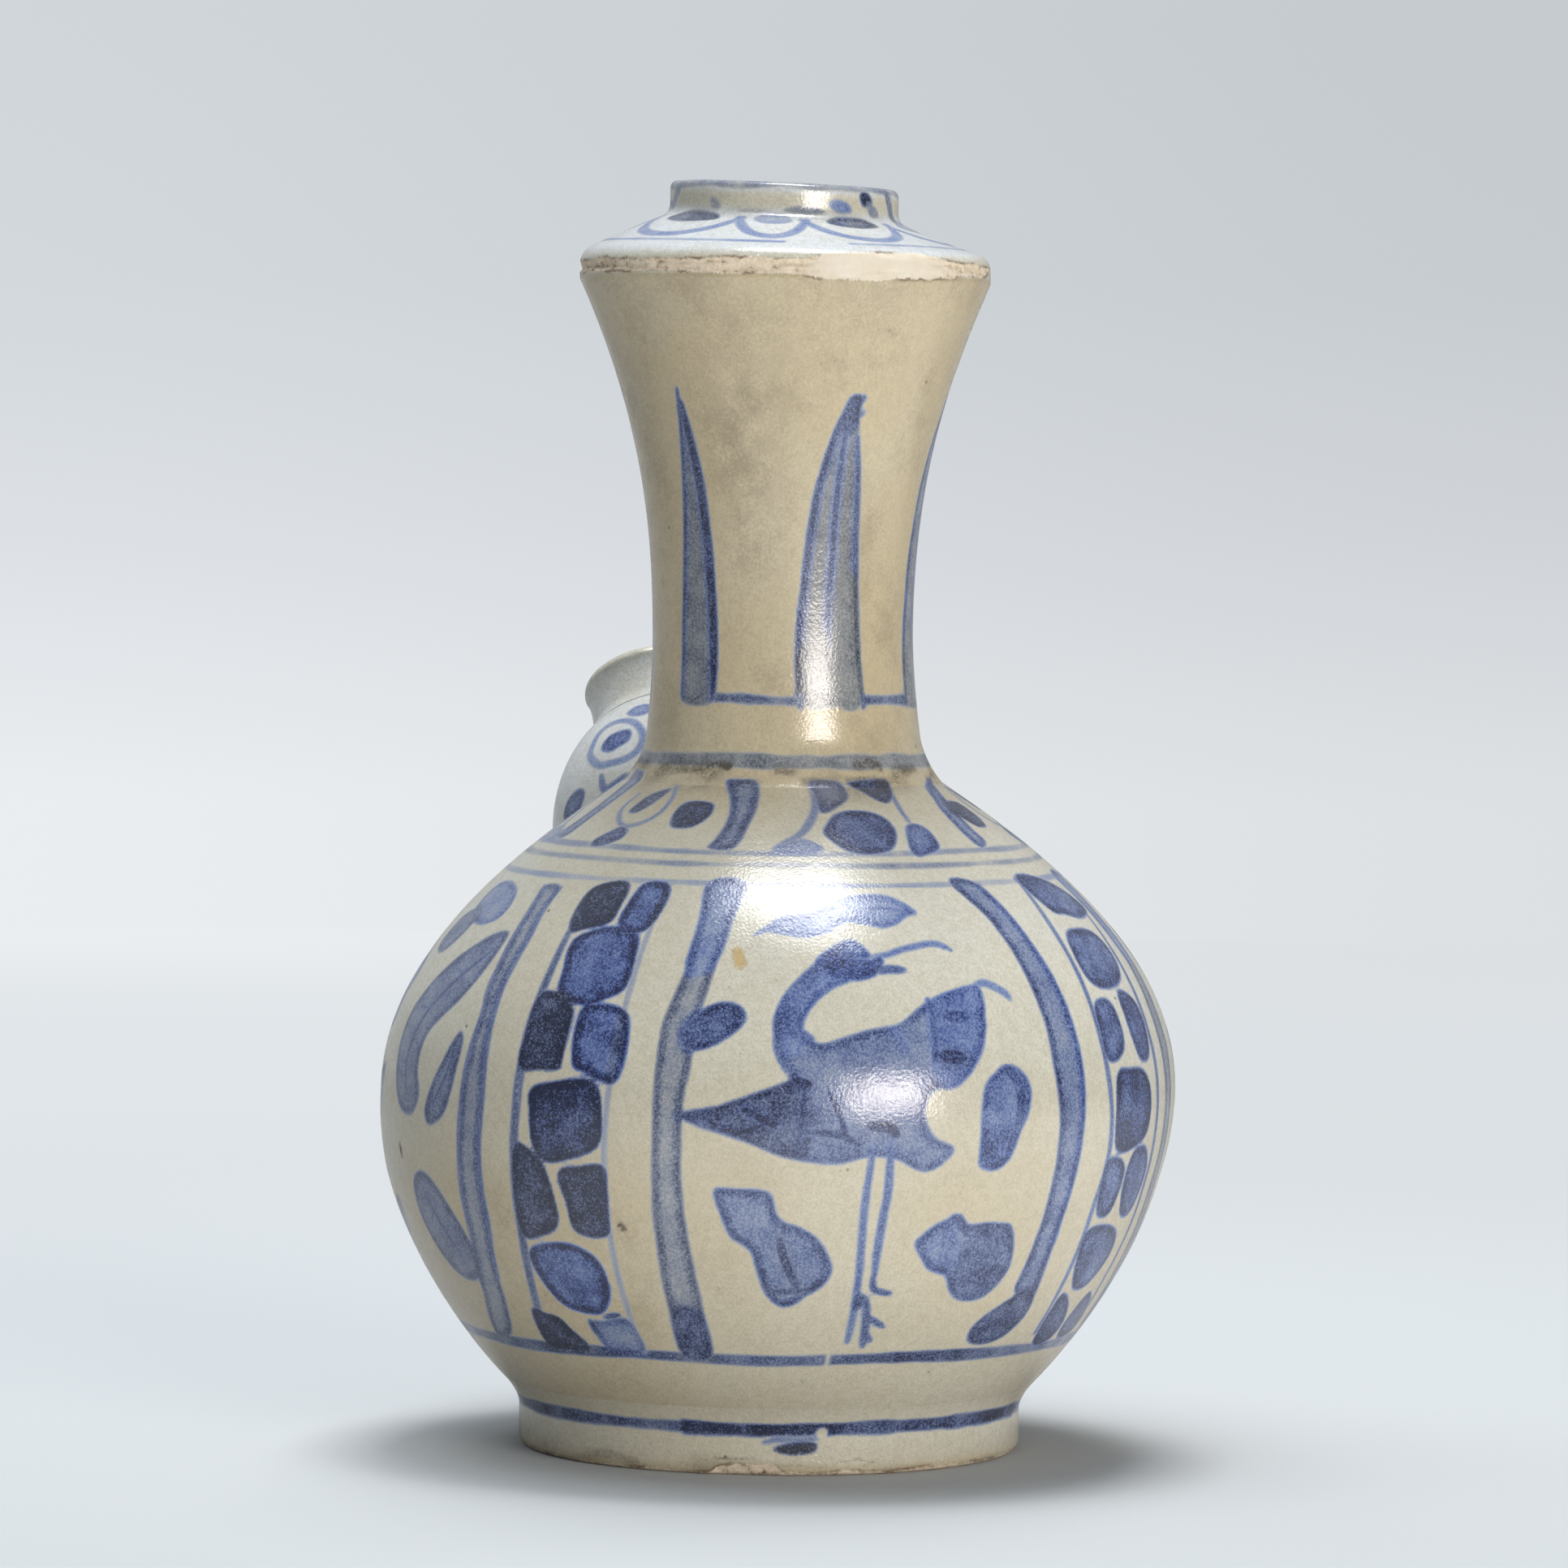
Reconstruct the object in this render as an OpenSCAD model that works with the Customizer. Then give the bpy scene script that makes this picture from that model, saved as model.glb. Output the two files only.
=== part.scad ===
// Kendi: a pouring vessel thrown in sections that are luted together with slip.
// The vessel stands on its foot ring at z = 0, its axis is Z and it pours towards +X.

/* [Whole vessel] */
// Height from the table to the top of the lip
total_h = 185; // [165:1:205]
// Radius of the vessel at its widest
belly_r = 58.4; // [52:0.1:66]

/* [Foot] */
// Outer radius of the foot ring
foot_r = 36.8; // [34:0.1:40]
// Height of the foot ring
foot_h = 8; // [6:0.5:12]
// Width of the foot ring where it carries the base
foot_wall = 6.5; // [5:0.5:9]
// Amount by which the ring thins towards its standing face
foot_taper = 1.5; // [0:0.5:3]
// Rounding of the outer standing edge
foot_round = 1.6; // [0.4:0.2:2]
// Depth of the base's spigot inside the ring
spigot_h = 3; // [1:0.5:4]
// Size of the slip fillet between the ring and the heel
foot_fillet = 2; // [1:0.1:3]

/* [Body] */
// Amount by which the lower bowl overhangs the foot ring
heel_out = 0.8; // [0.4:0.1:2]
// Height of the body's widest place, as a share of the whole height
waist_share = 0.28; // [0.25:0.005:0.31]
// Height of the neck's seat, as a share of the whole height
seat_share = 0.5373; // [0.5:0.0001:0.57]
// Thickness of the bowls
body_wall = 4; // [3:0.5:5]
// Angle of the lower wall at the heel, from level
heel_slope = 44; // [38:1:54]
// Angle of the shoulder below the neck, from level
shoulder_slope = 35; // [28:1:40]
// Upright run of the wall below the widest point
lower_turn = 18; // [12:0.5:21]
// Upright run of the wall above the widest point
upper_turn = 23.5; // [16:0.5:26]
// Straight run of the wall above the heel
heel_run = 11; // [8:0.5:16]
// Straight run of the shoulder below the neck
shoulder_run = 11; // [7:0.5:20]

/* [Neck] */
// Outer radius of the neck at its root
neck_root_r = 20.5; // [19.5:0.1:23]
// Outer radius of the neck at its narrowest
neck_waist_r = 19; // [17:0.1:19.4]
// Height of the narrowest place above the root
neck_waist_h = 19; // [14:0.5:26]
// Thickness of the neck
neck_wall = 3.5; // [2.5:0.1:4.5]
// Angle at which the neck flares out under the mouth, from upright
flare_slope = 24; // [16:1:28]
// Upright run of the neck above its narrowest place
neck_turn = 21; // [14:0.5:26]
// Straight run of the flare under the mouth
flare_run = 17; // [10:0.5:20]
// Size of the slip fillet around the root
neck_fillet = 4.5; // [3:0.1:5.5]

/* [Mouth] */
// Radius of the overhanging edge
flange_r = 30; // [27:0.1:33]
// Height of the overhanging edge
flange_h = 3.4; // [2.5:0.1:5]
// Rounding of the overhanging edge
flange_round = 2.2; // [1:0.1:2.4]
// Rise of the cap's cone from the edge to the lip
cap_rise = 5.9; // [4:0.1:8]
// Thickness of the cap below the lip
cap_wall = 4; // [3:0.1:5]
// Outer radius of the upright lip
lip_r = 16.7; // [15.5:0.1:18]
// Height of the upright lip
lip_h = 4.7; // [3.5:0.1:7]
// Rounding of the lip's edges
lip_round = 1.3; // [0.4:0.1:1.6]
// Radius of the mouth's bore
mouth_r = 12; // [10:0.1:12.6]

/* [Spout] */
// Distance from the vessel's widest place in to the middle of the spout's seat
spout_inset = 16.4; // [13.5:0.1:18.5]
// Angle of the spout above level
spout_tilt = 54; // [48:1:60]
// Radius of the bulb at its widest
bulb_r = 19.5; // [17:0.1:20.5]
// Height of the bulb's widest place above its seat
bulb_mid = 6; // [4:0.5:9]
// Length of the bulb from its seat to the tip
bulb_len = 24.8; // [21:0.1:30]
// Radius of the bulb's root, inside the shoulder
bulb_root_r = 18; // [16:0.1:19]
// Thickness of the bulb
spout_wall = 3; // [2.2:0.1:3.6]
// Size of the slip fillet around the bulb's root
spout_fillet = 4; // [2:0.1:5]
// Outer radius of the tip at its root
tip_root_r = 10; // [9.2:0.1:11]
// Outer radius of the tip at its narrowest
tip_waist_r = 9.6; // [8.5:0.1:10]
// Outer radius of the tip's lip
tip_lip_r = 10.2; // [9.4:0.1:11.2]
// Length of the tip
tip_len = 8; // [6:0.1:11]
// Rounding of the tip's lip
tip_round = 1.4; // [0.6:0.1:1.6]
// Radius of the pouring hole
pour_r = 4; // [3:0.1:5]
// Radius of the hole from the vessel into the bulb
port_r = 7; // [5:0.1:9]

/* [Seams] */
// Thickness of the slip in a seam
slip_t = 0.6; // [0.4:0.1:1]
// Height of the ridge of slip inside the waist
bead_h = 1; // [0.6:0.1:1.6]
// Width of the ridge of slip inside the waist
bead_w = 4; // [2.5:0.1:6]

/* [Hidden] */
$fn = 96;

// Straight steps along a curve and around a rounded corner
curve_steps = 14;
corner_steps = 5;
// How far a hollow sweep reaches into its corner, from 0 to 1
sweep = 0.6;

// Heights of the body, from the table up
base_z = foot_h + slip_t;
spigot_z = base_z - spigot_h;
waist_z = waist_share * total_h;
waist_top_z = waist_z + slip_t;
seat_z = seat_share * total_h;
neck_z = seat_z + slip_t;
narrow_z = neck_z + neck_waist_h;

// Heights of the mouth, from the lip down
top_z = total_h;
lip_z = top_z - lip_h;
cone_z = lip_z - cap_rise;
cap_z = cone_z - flange_h;
neck_top_z = cap_z - slip_t;

// Radii that follow from the sizes above
heel_r = foot_r + heel_out;
spout_seat_r = belly_r - spout_inset;
foot_bore_r = foot_r - foot_wall;
spigot_r = foot_bore_r - slip_t;
belly_bore_r = belly_r - body_wall;
neck_bore_r = neck_root_r - neck_wall;
flange_bore_r = flange_r - neck_wall;

// Colours of the glaze on the lower and upper bowls and over the seams
glaze = "#c8bfa8";
glaze_cool = "#bfbcae";
seam = "#a99e86";

// Curves: a cubic through its first and last points, and a corner rounded over a run
function cubic(p, t) = pow(1 - t, 3) * p[0] + 3 * t * pow(1 - t, 2) * p[1]
    + 3 * t * t * (1 - t) * p[2] + pow(t, 3) * p[3];
function curve(p) = [for (i = [0:curve_steps]) cubic(p, i / curve_steps)];
function towards(from, to, run) = from + run * (to - from) / norm(to - from);
function corner(a, b, c, run) =
    let (p = towards(b, a, run), q = towards(b, c, run))
    [for (i = [0:corner_steps]) let (t = i / corner_steps)
        pow(1 - t, 2) * p + 2 * t * (1 - t) * b + t * t * q];
// A hollow sweep from a to c that stays clear of the corner b between them
function hollow(a, b, c) = curve([a, a + sweep * (b - a), c + sweep * (b - c), c]);
function reversed(list) = [for (i = [len(list) - 1:-1:0]) list[i]];
// Directions along a wall that climbs at an angle, and square to it
function along(angle) = [cos(angle), sin(angle)];
function across(angle) = [-sin(angle), cos(angle)];

// Lower bowl: its wall from the heel to the waist, and the same wall inside
heel = [heel_r, base_z];
heel_in = heel + body_wall * across(heel_slope);
lower_wall = [heel, heel + heel_run * along(heel_slope),
    [belly_r, waist_z - lower_turn], [belly_r, waist_z]];
lower_bore = [heel_in, heel_in + heel_run * along(heel_slope),
    [belly_bore_r, waist_z - lower_turn], [belly_bore_r, waist_z]];

// Upper bowl: its wall from the waist to the neck's seat, grown outwards by a distance
function upper_wall(grow) =
    let (out = grow * across(-shoulder_slope), rim = [neck_root_r, seat_z] + out)
    [[belly_r + grow, waist_top_z], [belly_r + grow, waist_top_z + upper_turn],
        rim + shoulder_run * along(-shoulder_slope), rim];
upper_bore = [[belly_bore_r, waist_top_z], [belly_bore_r, waist_top_z + upper_turn],
    upper_wall(-body_wall)[2], [neck_bore_r, seat_z - body_wall]];

// Neck: its wall below and above the narrowest place, moved inwards by a distance
function neck_foot(inset) = [[neck_root_r - inset, neck_z],
    [(neck_root_r + neck_waist_r) / 2 - inset, neck_z + neck_waist_h / 3],
    [neck_waist_r - inset, narrow_z - neck_waist_h / 3], [neck_waist_r - inset, narrow_z]];
function neck_flare(inset) =
    let (top = [flange_r - inset, neck_top_z])
    [[neck_waist_r - inset, narrow_z], [neck_waist_r - inset, narrow_z + neck_turn],
        top - flare_run * across(-flare_slope), top];
function neck_side(inset) = concat(curve(neck_foot(inset)),
    [for (p = curve(neck_flare(inset))) if (p[1] > narrow_z) p]);

// Spout: the place of its seat on the shoulder, found on the wall's own curve
function seat_t(r, low = 0, high = 1, n = 24) =
    let (mid = (low + high) / 2)
    n == 0 ? mid
        : cubic(upper_wall(0), mid)[0] > r ? seat_t(r, mid, high, n - 1) : seat_t(r, low, mid, n - 1);
spout_seat_z = cubic(upper_wall(0), seat_t(spout_seat_r))[1];
tip_z = bulb_len + slip_t;
tip_top_z = tip_z + tip_len;
root_z = -bulb_r / 2;

// Half length of the egg that the bulb is cut from, so that it meets the tip at the tip's radius
bulb_half = (bulb_len - bulb_mid) / sqrt(1 - pow(tip_root_r / bulb_r, 2));
function egg(r, half, end_r) =
    let (last = acos(end_r / r))
    [for (i = [0:curve_steps]) let (a = last * i / curve_steps) [r * cos(a), bulb_mid + half * sin(a)]];

module foot_profile() {
    inner_foot = [foot_bore_r + foot_taper, 0];
    polygon(concat(
        [[foot_bore_r, foot_h], [foot_bore_r, spigot_z], inner_foot],
        corner(inner_foot, [foot_r, 0], [foot_r, foot_h], foot_round),
        [[foot_r, foot_h]]));
}

module lower_profile() {
    floor_corner = corner([0, heel_in[1]], heel_in, lower_bore[1], body_wall);
    polygon(concat(
        [[0, spigot_z], [spigot_r, spigot_z], [spigot_r, base_z]],
        curve(lower_wall),
        reversed([for (p = curve(lower_bore)) if (p[1] > floor_corner[corner_steps][1]) p]),
        reversed(floor_corner),
        [[0, heel_in[1]]]));
}

module upper_profile() {
    polygon(concat(curve(upper_wall(0)), [[neck_bore_r, seat_z]], reversed(curve(upper_bore))));
}

module neck_profile() {
    polygon(concat(neck_side(0), reversed(neck_side(neck_wall))));
}

module foot_slip_profile() {
    knee = [foot_r, base_z - heel_out * tan(heel_slope)];
    low = knee - [0, foot_fillet];
    high = curve(lower_wall)[1];
    difference() {
        polygon(concat([[spigot_r, base_z], [spigot_r, spigot_z], [foot_bore_r, spigot_z],
            [foot_bore_r, foot_h], [foot_r, foot_h]], hollow(low, knee, high)));
        foot_profile();
        lower_profile();
    }
}

module waist_slip_profile() {
    mid_z = waist_z + slip_t / 2;
    ridge = [[belly_bore_r, mid_z - bead_w / 2], [belly_bore_r - bead_h, mid_z - bead_w / 4],
        [belly_bore_r - bead_h, mid_z + bead_w / 4], [belly_bore_r, mid_z + bead_w / 2]];
    difference() {
        polygon(concat([[belly_bore_r, waist_z], [belly_r, waist_z], [belly_r, waist_top_z],
            [belly_bore_r, waist_top_z]], reversed(curve(ridge))));
        lower_profile();
        upper_profile();
    }
}

module neck_slip_profile() {
    root = [neck_root_r, neck_z];
    top = root + [(neck_waist_r - neck_root_r) / 2, neck_fillet];
    side = [neck_root_r, seat_z - slip_t / 2] + neck_fillet * along(-shoulder_slope);
    difference() {
        polygon(concat([[neck_bore_r, seat_z], [neck_bore_r, neck_z]], hollow(top, root, side)));
        upper_profile();
        neck_profile();
    }
}

// The upper bowl as a solid block, grown outwards, that a piece on the shoulder is cut to
module shoulder_block(grow = 0) {
    rotate_extrude() polygon(concat([[0, waist_top_z]], curve(upper_wall(grow)), [[0, seat_z + grow]]));
}

// Places its children on the shoulder, with the spout's axis as their Z
module at_spout() {
    translate([spout_seat_r, 0, spout_seat_z]) rotate([0, 90 - spout_tilt, 0]) children();
}

module bulb_shell() {
    outside = egg(bulb_r, bulb_half, tip_root_r);
    inside = egg(bulb_r - spout_wall, bulb_half - spout_wall, pour_r);
    at_spout() rotate_extrude() polygon(concat(
        [[bulb_root_r - spout_wall, root_z], [bulb_root_r, root_z]],
        outside, [[pour_r, bulb_len]], reversed(inside)));
}

module foot_ring() {
    color(glaze) rotate_extrude() foot_profile();
}

module foot_slip() {
    color(seam) rotate_extrude() foot_slip_profile();
}

module lower_body() {
    color(glaze) rotate_extrude() lower_profile();
}

module waist_slip() {
    color(seam) rotate_extrude() waist_slip_profile();
}

module upper_body() {
    color(glaze_cool) difference() {
        rotate_extrude() upper_profile();
        at_spout() translate([0, 0, root_z]) cylinder(r = port_r, h = bulb_len);
    }
}

module neck_slip() {
    color(seam) rotate_extrude() neck_slip_profile();
}

module neck() {
    color(glaze) rotate_extrude() neck_profile();
}

module flange_slip() {
    color(seam) rotate_extrude() translate([flange_bore_r, neck_top_z]) square([neck_wall, slip_t]);
}

module mouth_cap() {
    edge_foot = [flange_r, cap_z];
    edge = [flange_r, cone_z];
    lip_foot = [lip_r, lip_z];
    lip_out = [lip_r, top_z];
    lip_in = [mouth_r, top_z];
    bore_foot = [mouth_r, lip_z - cap_wall];
    color(glaze) rotate_extrude() polygon(concat(
        [edge_foot],
        corner(edge_foot, edge, lip_foot, flange_round),
        corner(edge, lip_foot, lip_out, lip_round),
        corner(lip_foot, lip_out, lip_in, lip_round),
        corner(lip_out, lip_in, bore_foot, lip_round),
        [bore_foot, [flange_bore_r, cap_z]]));
}

module spout_bulb() {
    color(glaze) difference() {
        bulb_shell();
        shoulder_block(slip_t);
    }
}

module spout_slip() {
    foot = [bulb_root_r + spout_fillet, root_z];
    knee = [bulb_root_r, root_z / 2];
    top = [bulb_root_r, bulb_mid / 2];
    color(seam) difference() {
        at_spout() rotate_extrude() polygon(concat(
            [[bulb_root_r - spout_wall, root_z]], hollow(foot, knee, top),
            [[bulb_root_r - spout_wall, top[1]]]));
        shoulder_block();
        spout_bulb();
    }
}

module tip_slip() {
    color(seam) at_spout() rotate_extrude()
        translate([pour_r, bulb_len]) square([tip_root_r - pour_r, slip_t]);
}

module spout_tip() {
    bore_foot = [pour_r, tip_z];
    lip_foot = [tip_lip_r, tip_top_z - tip_round];
    lip_out = [tip_lip_r, tip_top_z];
    lip_in = [pour_r, tip_top_z];
    waisted = [[tip_root_r, tip_z], [tip_waist_r, tip_z + tip_len / 3],
        [tip_waist_r, tip_z + 2 / 3 * tip_len], lip_foot];
    color(glaze) at_spout() rotate_extrude() polygon(concat(
        [bore_foot],
        curve(waisted),
        corner(lip_foot, lip_out, lip_in, tip_round),
        corner(lip_out, lip_in, bore_foot, tip_round)));
}

foot_ring();
foot_slip();
lower_body();
waist_slip();
upper_body();
neck_slip();
neck();
flange_slip();
mouth_cap();
spout_slip();
spout_bulb();
tip_slip();
spout_tip();
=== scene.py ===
"""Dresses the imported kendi: thrown sections, blue painting under a satin glaze, and its worn edges."""

from __future__ import annotations

import logging
import math
from dataclasses import dataclass, field, replace
from enum import Enum
from typing import Iterable, Sequence

import bpy
import numpy as np
from mathutils import Matrix, Vector

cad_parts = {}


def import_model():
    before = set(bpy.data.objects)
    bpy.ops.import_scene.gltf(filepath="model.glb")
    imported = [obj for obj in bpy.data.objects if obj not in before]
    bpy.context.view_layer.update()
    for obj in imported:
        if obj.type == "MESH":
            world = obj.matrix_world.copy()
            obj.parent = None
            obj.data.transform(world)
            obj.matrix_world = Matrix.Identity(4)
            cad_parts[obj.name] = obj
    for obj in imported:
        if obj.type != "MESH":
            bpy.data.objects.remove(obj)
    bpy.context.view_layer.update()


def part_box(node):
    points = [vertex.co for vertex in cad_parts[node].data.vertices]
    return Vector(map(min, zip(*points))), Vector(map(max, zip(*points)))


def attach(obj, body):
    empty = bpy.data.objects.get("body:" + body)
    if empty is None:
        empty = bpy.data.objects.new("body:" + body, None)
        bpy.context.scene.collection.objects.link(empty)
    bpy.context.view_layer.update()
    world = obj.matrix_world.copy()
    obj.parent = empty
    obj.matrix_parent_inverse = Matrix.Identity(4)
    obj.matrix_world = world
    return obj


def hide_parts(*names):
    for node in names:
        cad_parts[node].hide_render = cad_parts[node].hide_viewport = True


LOG = logging.getLogger("kendi")
MM = 0.001
FACE = 160.0  # Angle of the side that faces the viewer, in degrees.
FAR = 9.0  # Distance that stands for nothing near, in millimetres.
Pair = tuple[float, float]
Colour = tuple[float, float, float]
Array = np.ndarray
Piece = bpy.types.Object
Material = bpy.types.Material
Socket = bpy.types.NodeSocket


class Section(Enum):
    """The thrown sections of the vessel, by the name of the piece that shows each."""

    FOOT = "foot"
    LOWER = "lower_bowl"
    UPPER = "upper_bowl"
    NECK = "neck_trumpet"
    MOUTH = "mouth"
    BULB = "spout_swelling"
    TIP = "spout_end"


def lean(angle: float, run: float) -> Array:
    """Step of a given length along a wall that climbs at an angle in degrees."""
    return run * np.array([math.cos(math.radians(angle)), math.sin(math.radians(angle))])


def smooth(value: Array, start: float, end: float) -> Array:
    """Soft step from 0 at start to 1 at end."""
    t = np.clip((value - start) / (end - start), 0.0, 1.0)
    return t * t * (3.0 - 2.0 * t)


def wrapped(angle: Array) -> Array:
    """Angle in degrees, brought between -180 and 180."""
    return (angle + 180.0) % 360.0 - 180.0


def rounded(chain: Array) -> Array:
    """Rounds a chain of points.

    Args:
        chain: The points, with one more before the first and one after the last.

    Returns:
        Four points on the way from each point to the next.
    """
    a, b, c, d = chain[:-3], chain[1:-2], chain[2:-1], chain[3:]
    t = np.arange(4)[:, None, None] / 4.0
    curved = (2 * a - 5 * b + 4 * c - d) * t**2 + (3 * b - a - 3 * c + d) * t**3
    return (0.5 * (2 * b + (c - a) * t + curved)).transpose(1, 0, 2).reshape(-1, 2)


class Outline:
    """Half section of a turned piece, drawn point by point in millimetres."""

    def __init__(self, radius: float, height: float) -> None:
        """Starts the outline at a radius and a height."""
        self.points: list[Pair] = [(radius, height)]

    def to(self, radius: float, height: float, step: float = 5.0) -> Outline:
        """Draws a straight wall.

        Args:
            radius: Radius of the wall's end.
            height: Height of the wall's end.
            step: Distance between points.

        Returns:
            The outline itself.
        """
        a, b = np.array(self.points[-1]), np.array([radius, height])
        count = max(1, round(float(np.linalg.norm(b - a)) / step))
        self.points += [tuple(a + (b - a) * i / count) for i in range(1, count + 1)]
        return self

    def sweep(self, controls: Sequence[Sequence[float]], step: float = 0.6) -> Outline:
        """Draws a cubic curve in even steps, from its first control point to its last.

        Args:
            controls: Four control points.
            step: Distance between points.

        Returns:
            The outline itself.
        """
        p = [np.array(c, float) for c in controls]
        t = np.linspace(0.0, 1.0, 400)[:, None]
        dense = (1 - t) ** 3 * p[0] + 3 * t * (1 - t) ** 2 * p[1] + 3 * t * t * (1 - t) * p[2] + t**3 * p[3]
        run = np.concatenate([[0.0], np.cumsum(np.linalg.norm(np.diff(dense, axis=0), axis=1))])
        count = max(2, round(run[-1] / step))
        for mark in np.linspace(0.0, run[-1], count + 1)[1:]:
            self.points.append((float(np.interp(mark, run, dense[:, 0])), float(np.interp(mark, run, dense[:, 1]))))
        return self

    def bend(self, corner: Pair, after: Pair, run: float, step: float = 0.6, count: int = 8) -> Outline:
        """Draws a wall up to a corner and rounds it towards the next wall.

        Args:
            corner: The corner before rounding.
            after: A point on the wall after the corner.
            run: Distance from the corner at which the rounding starts and ends.
            step: Distance between points on the wall.
            count: Steps around the rounding.

        Returns:
            The outline itself.
        """
        b, c = np.array(corner), np.array(after)
        back = np.array(self.points[-1]) - b
        a = b + back / np.linalg.norm(back) * run
        e = b + (c - b) / np.linalg.norm(c - b) * run
        self.to(float(a[0]), float(a[1]), step)
        for i in range(1, count + 1):
            t = i / count
            q = (1 - t) ** 2 * a + 2 * t * (1 - t) * b + t * t * e
            self.points.append((float(q[0]), float(q[1])))
        return self


class Chart:
    """Unrolls an outer wall, so that a height gives the wall's radius and the run along it."""

    def __init__(self, outer: Sequence[Pair]) -> None:
        """Takes the outer wall.

        Args:
            outer: Pairs of radius and height, from the wall's lower end up.
        """
        points = np.array(outer, float)
        keep = np.concatenate([[True], np.diff(np.maximum.accumulate(points[:, 1])) > 1e-6])
        run = np.concatenate([[0.0], np.cumsum(np.linalg.norm(np.diff(points, axis=0), axis=1))])
        self.heights, self.radii, self.runs = points[keep, 1], points[keep, 0], run[keep]

    def run(self, height: Array) -> Array:
        """Length along the wall at a height."""
        return np.interp(height, self.heights, self.runs)

    def radius(self, height: Array) -> Array:
        """Radius of the wall at a height."""
        return np.interp(height, self.heights, self.radii)


class Unevenness:
    """Repeatable soft noise around a turned wall, for chips, wavering lines and hand-thrown walls."""

    CELLS = 256

    def __init__(self, seed: int) -> None:
        """Fills the lattice from a fixed seed."""
        self.lattice = np.random.RandomState(seed).uniform(-1.0, 1.0, (self.CELLS, self.CELLS))

    def at(self, angle: Array, height: Array, across: float, up: float) -> Array:
        """Noise between -1 and 1.

        Args:
            angle: Angles around the wall, in degrees.
            height: Heights on the wall, in millimetres.
            across: Size of a patch around the wall, in degrees that divide 360.
            up: Size of a patch along the wall, in millimetres.

        Returns:
            The noise at each place.
        """
        turns = max(1, round(360.0 / across))
        u = (np.asarray(angle, float) % 360.0) / 360.0 * turns
        v = np.asarray(height, float) / up + 64.0
        iu, iv = np.floor(u).astype(int), np.floor(v).astype(int)
        fu, fv = u - iu, v - iv
        fu, fv = fu * fu * (3 - 2 * fu), fv * fv * (3 - 2 * fv)
        a, b = iu % turns % self.CELLS, (iu + 1) % turns % self.CELLS
        c, d = iv % self.CELLS, (iv + 1) % self.CELLS
        low = self.lattice[a, c] * (1 - fu) + self.lattice[b, c] * fu
        high = self.lattice[a, d] * (1 - fu) + self.lattice[b, d] * fu
        return low * (1 - fv) + high * fv

    def around(self, angle: Array, offset: float, across: float) -> Array:
        """Noise that depends on the angle alone, with an offset to tell one use from another."""
        return self.at(angle, 0.0 * angle + offset, across, 1.0)


@dataclass(frozen=True)
class Wash:
    """A patch of thin blue: its outline in degrees from the face and millimetres up, and how it is laid on."""

    outline: Sequence[Pair]
    tone: float = 0.5
    rim: float = 0.3
    ash: float = 0.25
    grow: float = 0.0

    def loop(self) -> Array:
        """Outline as a closed chain of points, rounded through the given ones."""
        p = np.array(self.outline, float)
        return rounded(np.vstack([p[-1:], p, p[:2]]))


@dataclass(frozen=True)
class Stroke:
    """One pull of the brush: its path in degrees from the face and millimetres up, its width and its strength."""

    path: Sequence[Pair]
    width: float = 1.0
    tone: float = 0.6
    ash: float = 0.4
    taper: float = 0.4

    def chain(self) -> tuple[Array, Array]:
        """Rounds the path and presses the brush along it.

        Returns:
            The path as a chain of points, and the half width of the brush at each.
        """
        p = np.array(self.path, float)
        ends = np.vstack([2 * p[0] - p[1], p, 2 * p[-1] - p[-2]])
        chain = np.vstack([rounded(ends), p[-1]])
        t = np.linspace(-1.0, 1.0, len(chain))
        return chain, 0.5 * self.width * (1.0 - self.taper * t**4)


@dataclass(frozen=True)
class Ring:
    """A line drawn while the pot turns on the wheel, with places where the brush ran dry."""

    height: float
    width: float
    tone: float
    ash: float = 0.4
    waver: float = 0.25
    spans: Sequence[Pair] = ()
    seed: int = 3


@dataclass(frozen=True)
class Stain:
    """A crack, a brown stain or a yellow spot: its path, its width, its strength and the layer that it darkens."""

    path: Sequence[Pair]
    width: float = 0.4
    strength: float = 0.9
    layer: str = "dirt"


Motif = Wash | Stroke | Ring | Stain


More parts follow.
